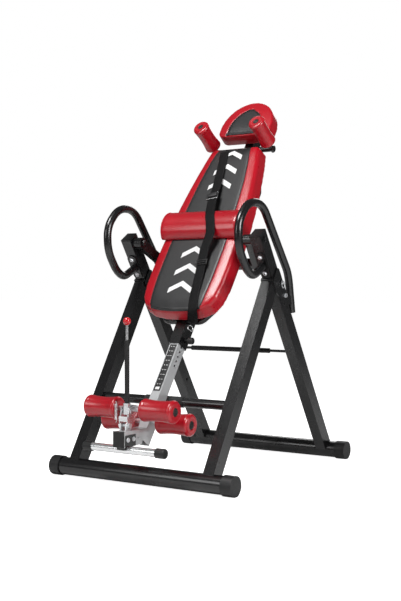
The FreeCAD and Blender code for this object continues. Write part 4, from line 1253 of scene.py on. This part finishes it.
class TABLE_OT_foam_sleeves(Operator):
    """Foam sleeves on the tilt limiter rod and the front crossbar"""
    bl_idname = "inversion_table.foam_sleeves"
    bl_label = "Foam Sleeves"

    def execute(self, context):
        for node, body, bore in (("limiter_sleeve", "rear_frame", 0.0052),
                                 ("crossbar_stop_sleeve", "front_frame", 0.0162)):
            low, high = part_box(node)
            centre = (low + high) / 2
            radius = (high.z - low.z) / 2
            length = high.x - low.x
            profile = [(bore, 0.0), (radius - 0.0015, 0.0), (radius, 0.0015)]
            profile += [(radius - 0.00025 * (i % 2), 0.0015 + (length - 0.003) * i / 24)
                        for i in range(1, 24)]
            profile += [(radius, length - 0.0015), (radius - 0.0015, length), (bore, length)]
            sleeve = piece(node + "_foam", closed_turn(profile, 48), body, finish("foam"),
                           axes_matrix((low.x, centre.y, centre.z), (1, 0, 0)))
            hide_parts(node)
        return {"FINISHED"}


# which finish each carried-over node takes
KEPT_FINISHES = {
    "coat": ("rear_legs", "front_legs", "handle_left", "handle_right", "back_rails", "pivot_arms",
             "sleeve_tube", "shoulder_frame", "limiter_rod", "front_crossbar", "rear_base_tube",
             "front_base_tube", "fold_hinge_plates_left", "fold_hinge_plates_right", "foot_bar_bracket",
             "head_stem"),
    "plastic": ("rear_base_caps", "front_base_caps", "post_caps", "front_leg_collars", "boom_end_cap",
                "foot_bar_caps", "head_clamp_knob", "height_pin", "pivot_bushes"),
    "zinc": ("fold_lock_pin_left", "fold_lock_pin_right", "clamp_pin", "lever_pin", "rear_axle",
             "front_axle"),
    "chrome": ("foot_bar", "clamp_arm", "lever_fork", "lever_rod"),
    "silver": ("leg_tube", "boom"),
    "board": ("backboard", "head_board"),
}


class TABLE_OT_frame_finishes(Operator):
    """Coatings, plating and grain for the frame's own tubes, plates, caps and boards"""
    bl_idname = "inversion_table.frame_finishes"
    bl_label = "Frame Finishes"

    def execute(self, context):
        for name, nodes in KEPT_FINISHES.items():
            for node in nodes:
                item = frame["nodes"][node]
                if not item.material_slots:
                    item.data.materials.append(finish(name))
                for slot in item.material_slots:
                    slot.material = finish(name)
        return {"FINISHED"}


# ---------------------------------------------------------------- stage
SENSOR_WIDTH = 36.0
LENS = 60.23
CAMERA_PLACE = (1.94418, -3.01838, 0.65334)
CAMERA_DEGREES = (89.133, 0.03, 32.78)
FLOOR_REACH = 30.0
FLOOR_LEVEL = -0.0005
FLOOR_GLOW = 0.93      # how much white the floor shows of its own
SKY_ON_OBJECT = 0.10   # strength of the surroundings where they light the object


class TABLE_OT_stage(Operator):
    """Pale floor, soft lights and the camera"""
    bl_idname = "inversion_table.stage"
    bl_label = "Studio Stage"

    def execute(self, context):
        scene = context.scene
        scene.view_settings.view_transform = "Standard"
        camera = bpy.data.cameras.new("camera")
        camera.sensor_width = SENSOR_WIDTH
        camera.lens = LENS
        view = bpy.data.objects.new("camera", camera)
        view.location = CAMERA_PLACE
        view.rotation_euler = [math.radians(angle) for angle in CAMERA_DEGREES]
        scene.collection.objects.link(view)
        scene.camera = view
        floor = bpy.data.meshes.new("studio_floor")
        corners = ((-1, -1), (1, -1), (1, 1), (-1, 1))
        floor.from_pydata([(FLOOR_REACH * x, FLOOR_REACH * y, FLOOR_LEVEL) for x, y in corners], [],
                          [(0, 1, 2, 3)])
        pale = Finish("pale_floor", (0.80, 0.80, 0.80), 0.7)
        pale.tint(pale.noise(0.8, 2.0), 0.01)
        seen = pale.node("ShaderNodeLightPath").outputs["Is Camera Ray"]
        pale.set(Emission_Color=(1.0, 1.0, 1.0, 1.0))
        pale.link(pale.math("MULTIPLY", seen, FLOOR_GLOW), pale.shader.inputs["Emission Strength"])
        floor.materials.append(pale.material)
        ground = bpy.data.objects.new("studio_floor", floor)
        scene.collection.objects.link(ground)
        self.surroundings(scene)
        self.lamp("key", (3.6, -0.9, 2.1), power=110.0, size=1.6)
        self.lamp("top", (-0.5, -1.6, 3.5), power=90.0, size=1.2)
        self.lamp("front", (-1.6, -3.4, 1.8), power=26.0, size=1.4)
        self.lamp("rim", (-1.2, 3.2, 2.4), power=22.0, size=1.6)
        return {"FINISHED"}

    def surroundings(self, scene):
        """White behind the object, dimmer where it only lights it."""
        world = bpy.data.worlds.new("studio")
        world.use_nodes = True
        nodes, links = world.node_tree.nodes, world.node_tree.links
        light = nodes["Background"]
        light.inputs["Color"].default_value = (1.0, 1.0, 1.0, 1.0)
        seen = nodes.new("ShaderNodeLightPath")
        strength = nodes.new("ShaderNodeMapRange")
        strength.inputs["To Min"].default_value = SKY_ON_OBJECT
        strength.inputs["To Max"].default_value = 1.0
        links.new(seen.outputs["Is Camera Ray"], strength.inputs["Value"])
        links.new(strength.outputs["Result"], light.inputs["Strength"])
        scene.world = world

    def lamp(self, name, place, power, size):
        light = bpy.data.lights.new(name, "AREA")
        light.energy = power
        light.size = size
        item = bpy.data.objects.new(name, light)
        item.location = place
        item.rotation_euler = (Vector((0, 0, 0.7)) - Vector(place)).to_track_quat("-Z", "Y").to_euler()
        bpy.context.scene.collection.objects.link(item)


class TABLE_PT_dressing(Panel):
    """Lists the makers of the table's pieces"""
    bl_idname = "TABLE_PT_dressing"
    bl_label = "Inversion Table"
    bl_space_type = "VIEW_3D"
    bl_region_type = "UI"
    bl_category = "Inversion Table"

    def draw(self, context):
        for group in GROUPS:
            box = self.layout.box()
            box.label(text=group)
            values = settings(group)
            for name in values.bl_rna.properties.keys():
                if name not in ("rna_type", "name"):
                    box.prop(values, name)
        for maker in MAKERS:
            self.layout.operator(maker.bl_idname)


GROUPS = {"upholstery": UpholsterySizes, "webbing": WebbingSizes, "rollers": RollerSizes,
          "colours": TableColours}
MAKERS = (TABLE_OT_stage, TABLE_OT_frame_finishes, TABLE_OT_bed_cushion, TABLE_OT_lumbar_roll,
          TABLE_OT_head_pad, TABLE_OT_ankle_rollers, TABLE_OT_shoulder_rollers, TABLE_OT_lumbar_belt,
          TABLE_OT_bolts, TABLE_OT_scale_strip, TABLE_OT_clamp_spring, TABLE_OT_lever_knob,
          TABLE_OT_foam_sleeves)


def register():
    for group in GROUPS.values():
        bpy.utils.register_class(group)
    for maker in MAKERS:
        bpy.utils.register_class(maker)
    bpy.utils.register_class(TABLE_PT_dressing)
    for name, group in GROUPS.items():
        setattr(bpy.types.Scene, "inversion_table_" + name, PointerProperty(type=group))


def unregister():
    for name in GROUPS:
        delattr(bpy.types.Scene, "inversion_table_" + name)
    bpy.utils.unregister_class(TABLE_PT_dressing)
    for maker in reversed(MAKERS):
        bpy.utils.unregister_class(maker)
    for group in reversed(list(GROUPS.values())):
        bpy.utils.unregister_class(group)


def main():
    register()
    for maker in MAKERS:
        family, name = maker.bl_idname.split(".")
        getattr(getattr(bpy.ops, family), name)()


if __name__ == "__main__":
    main()
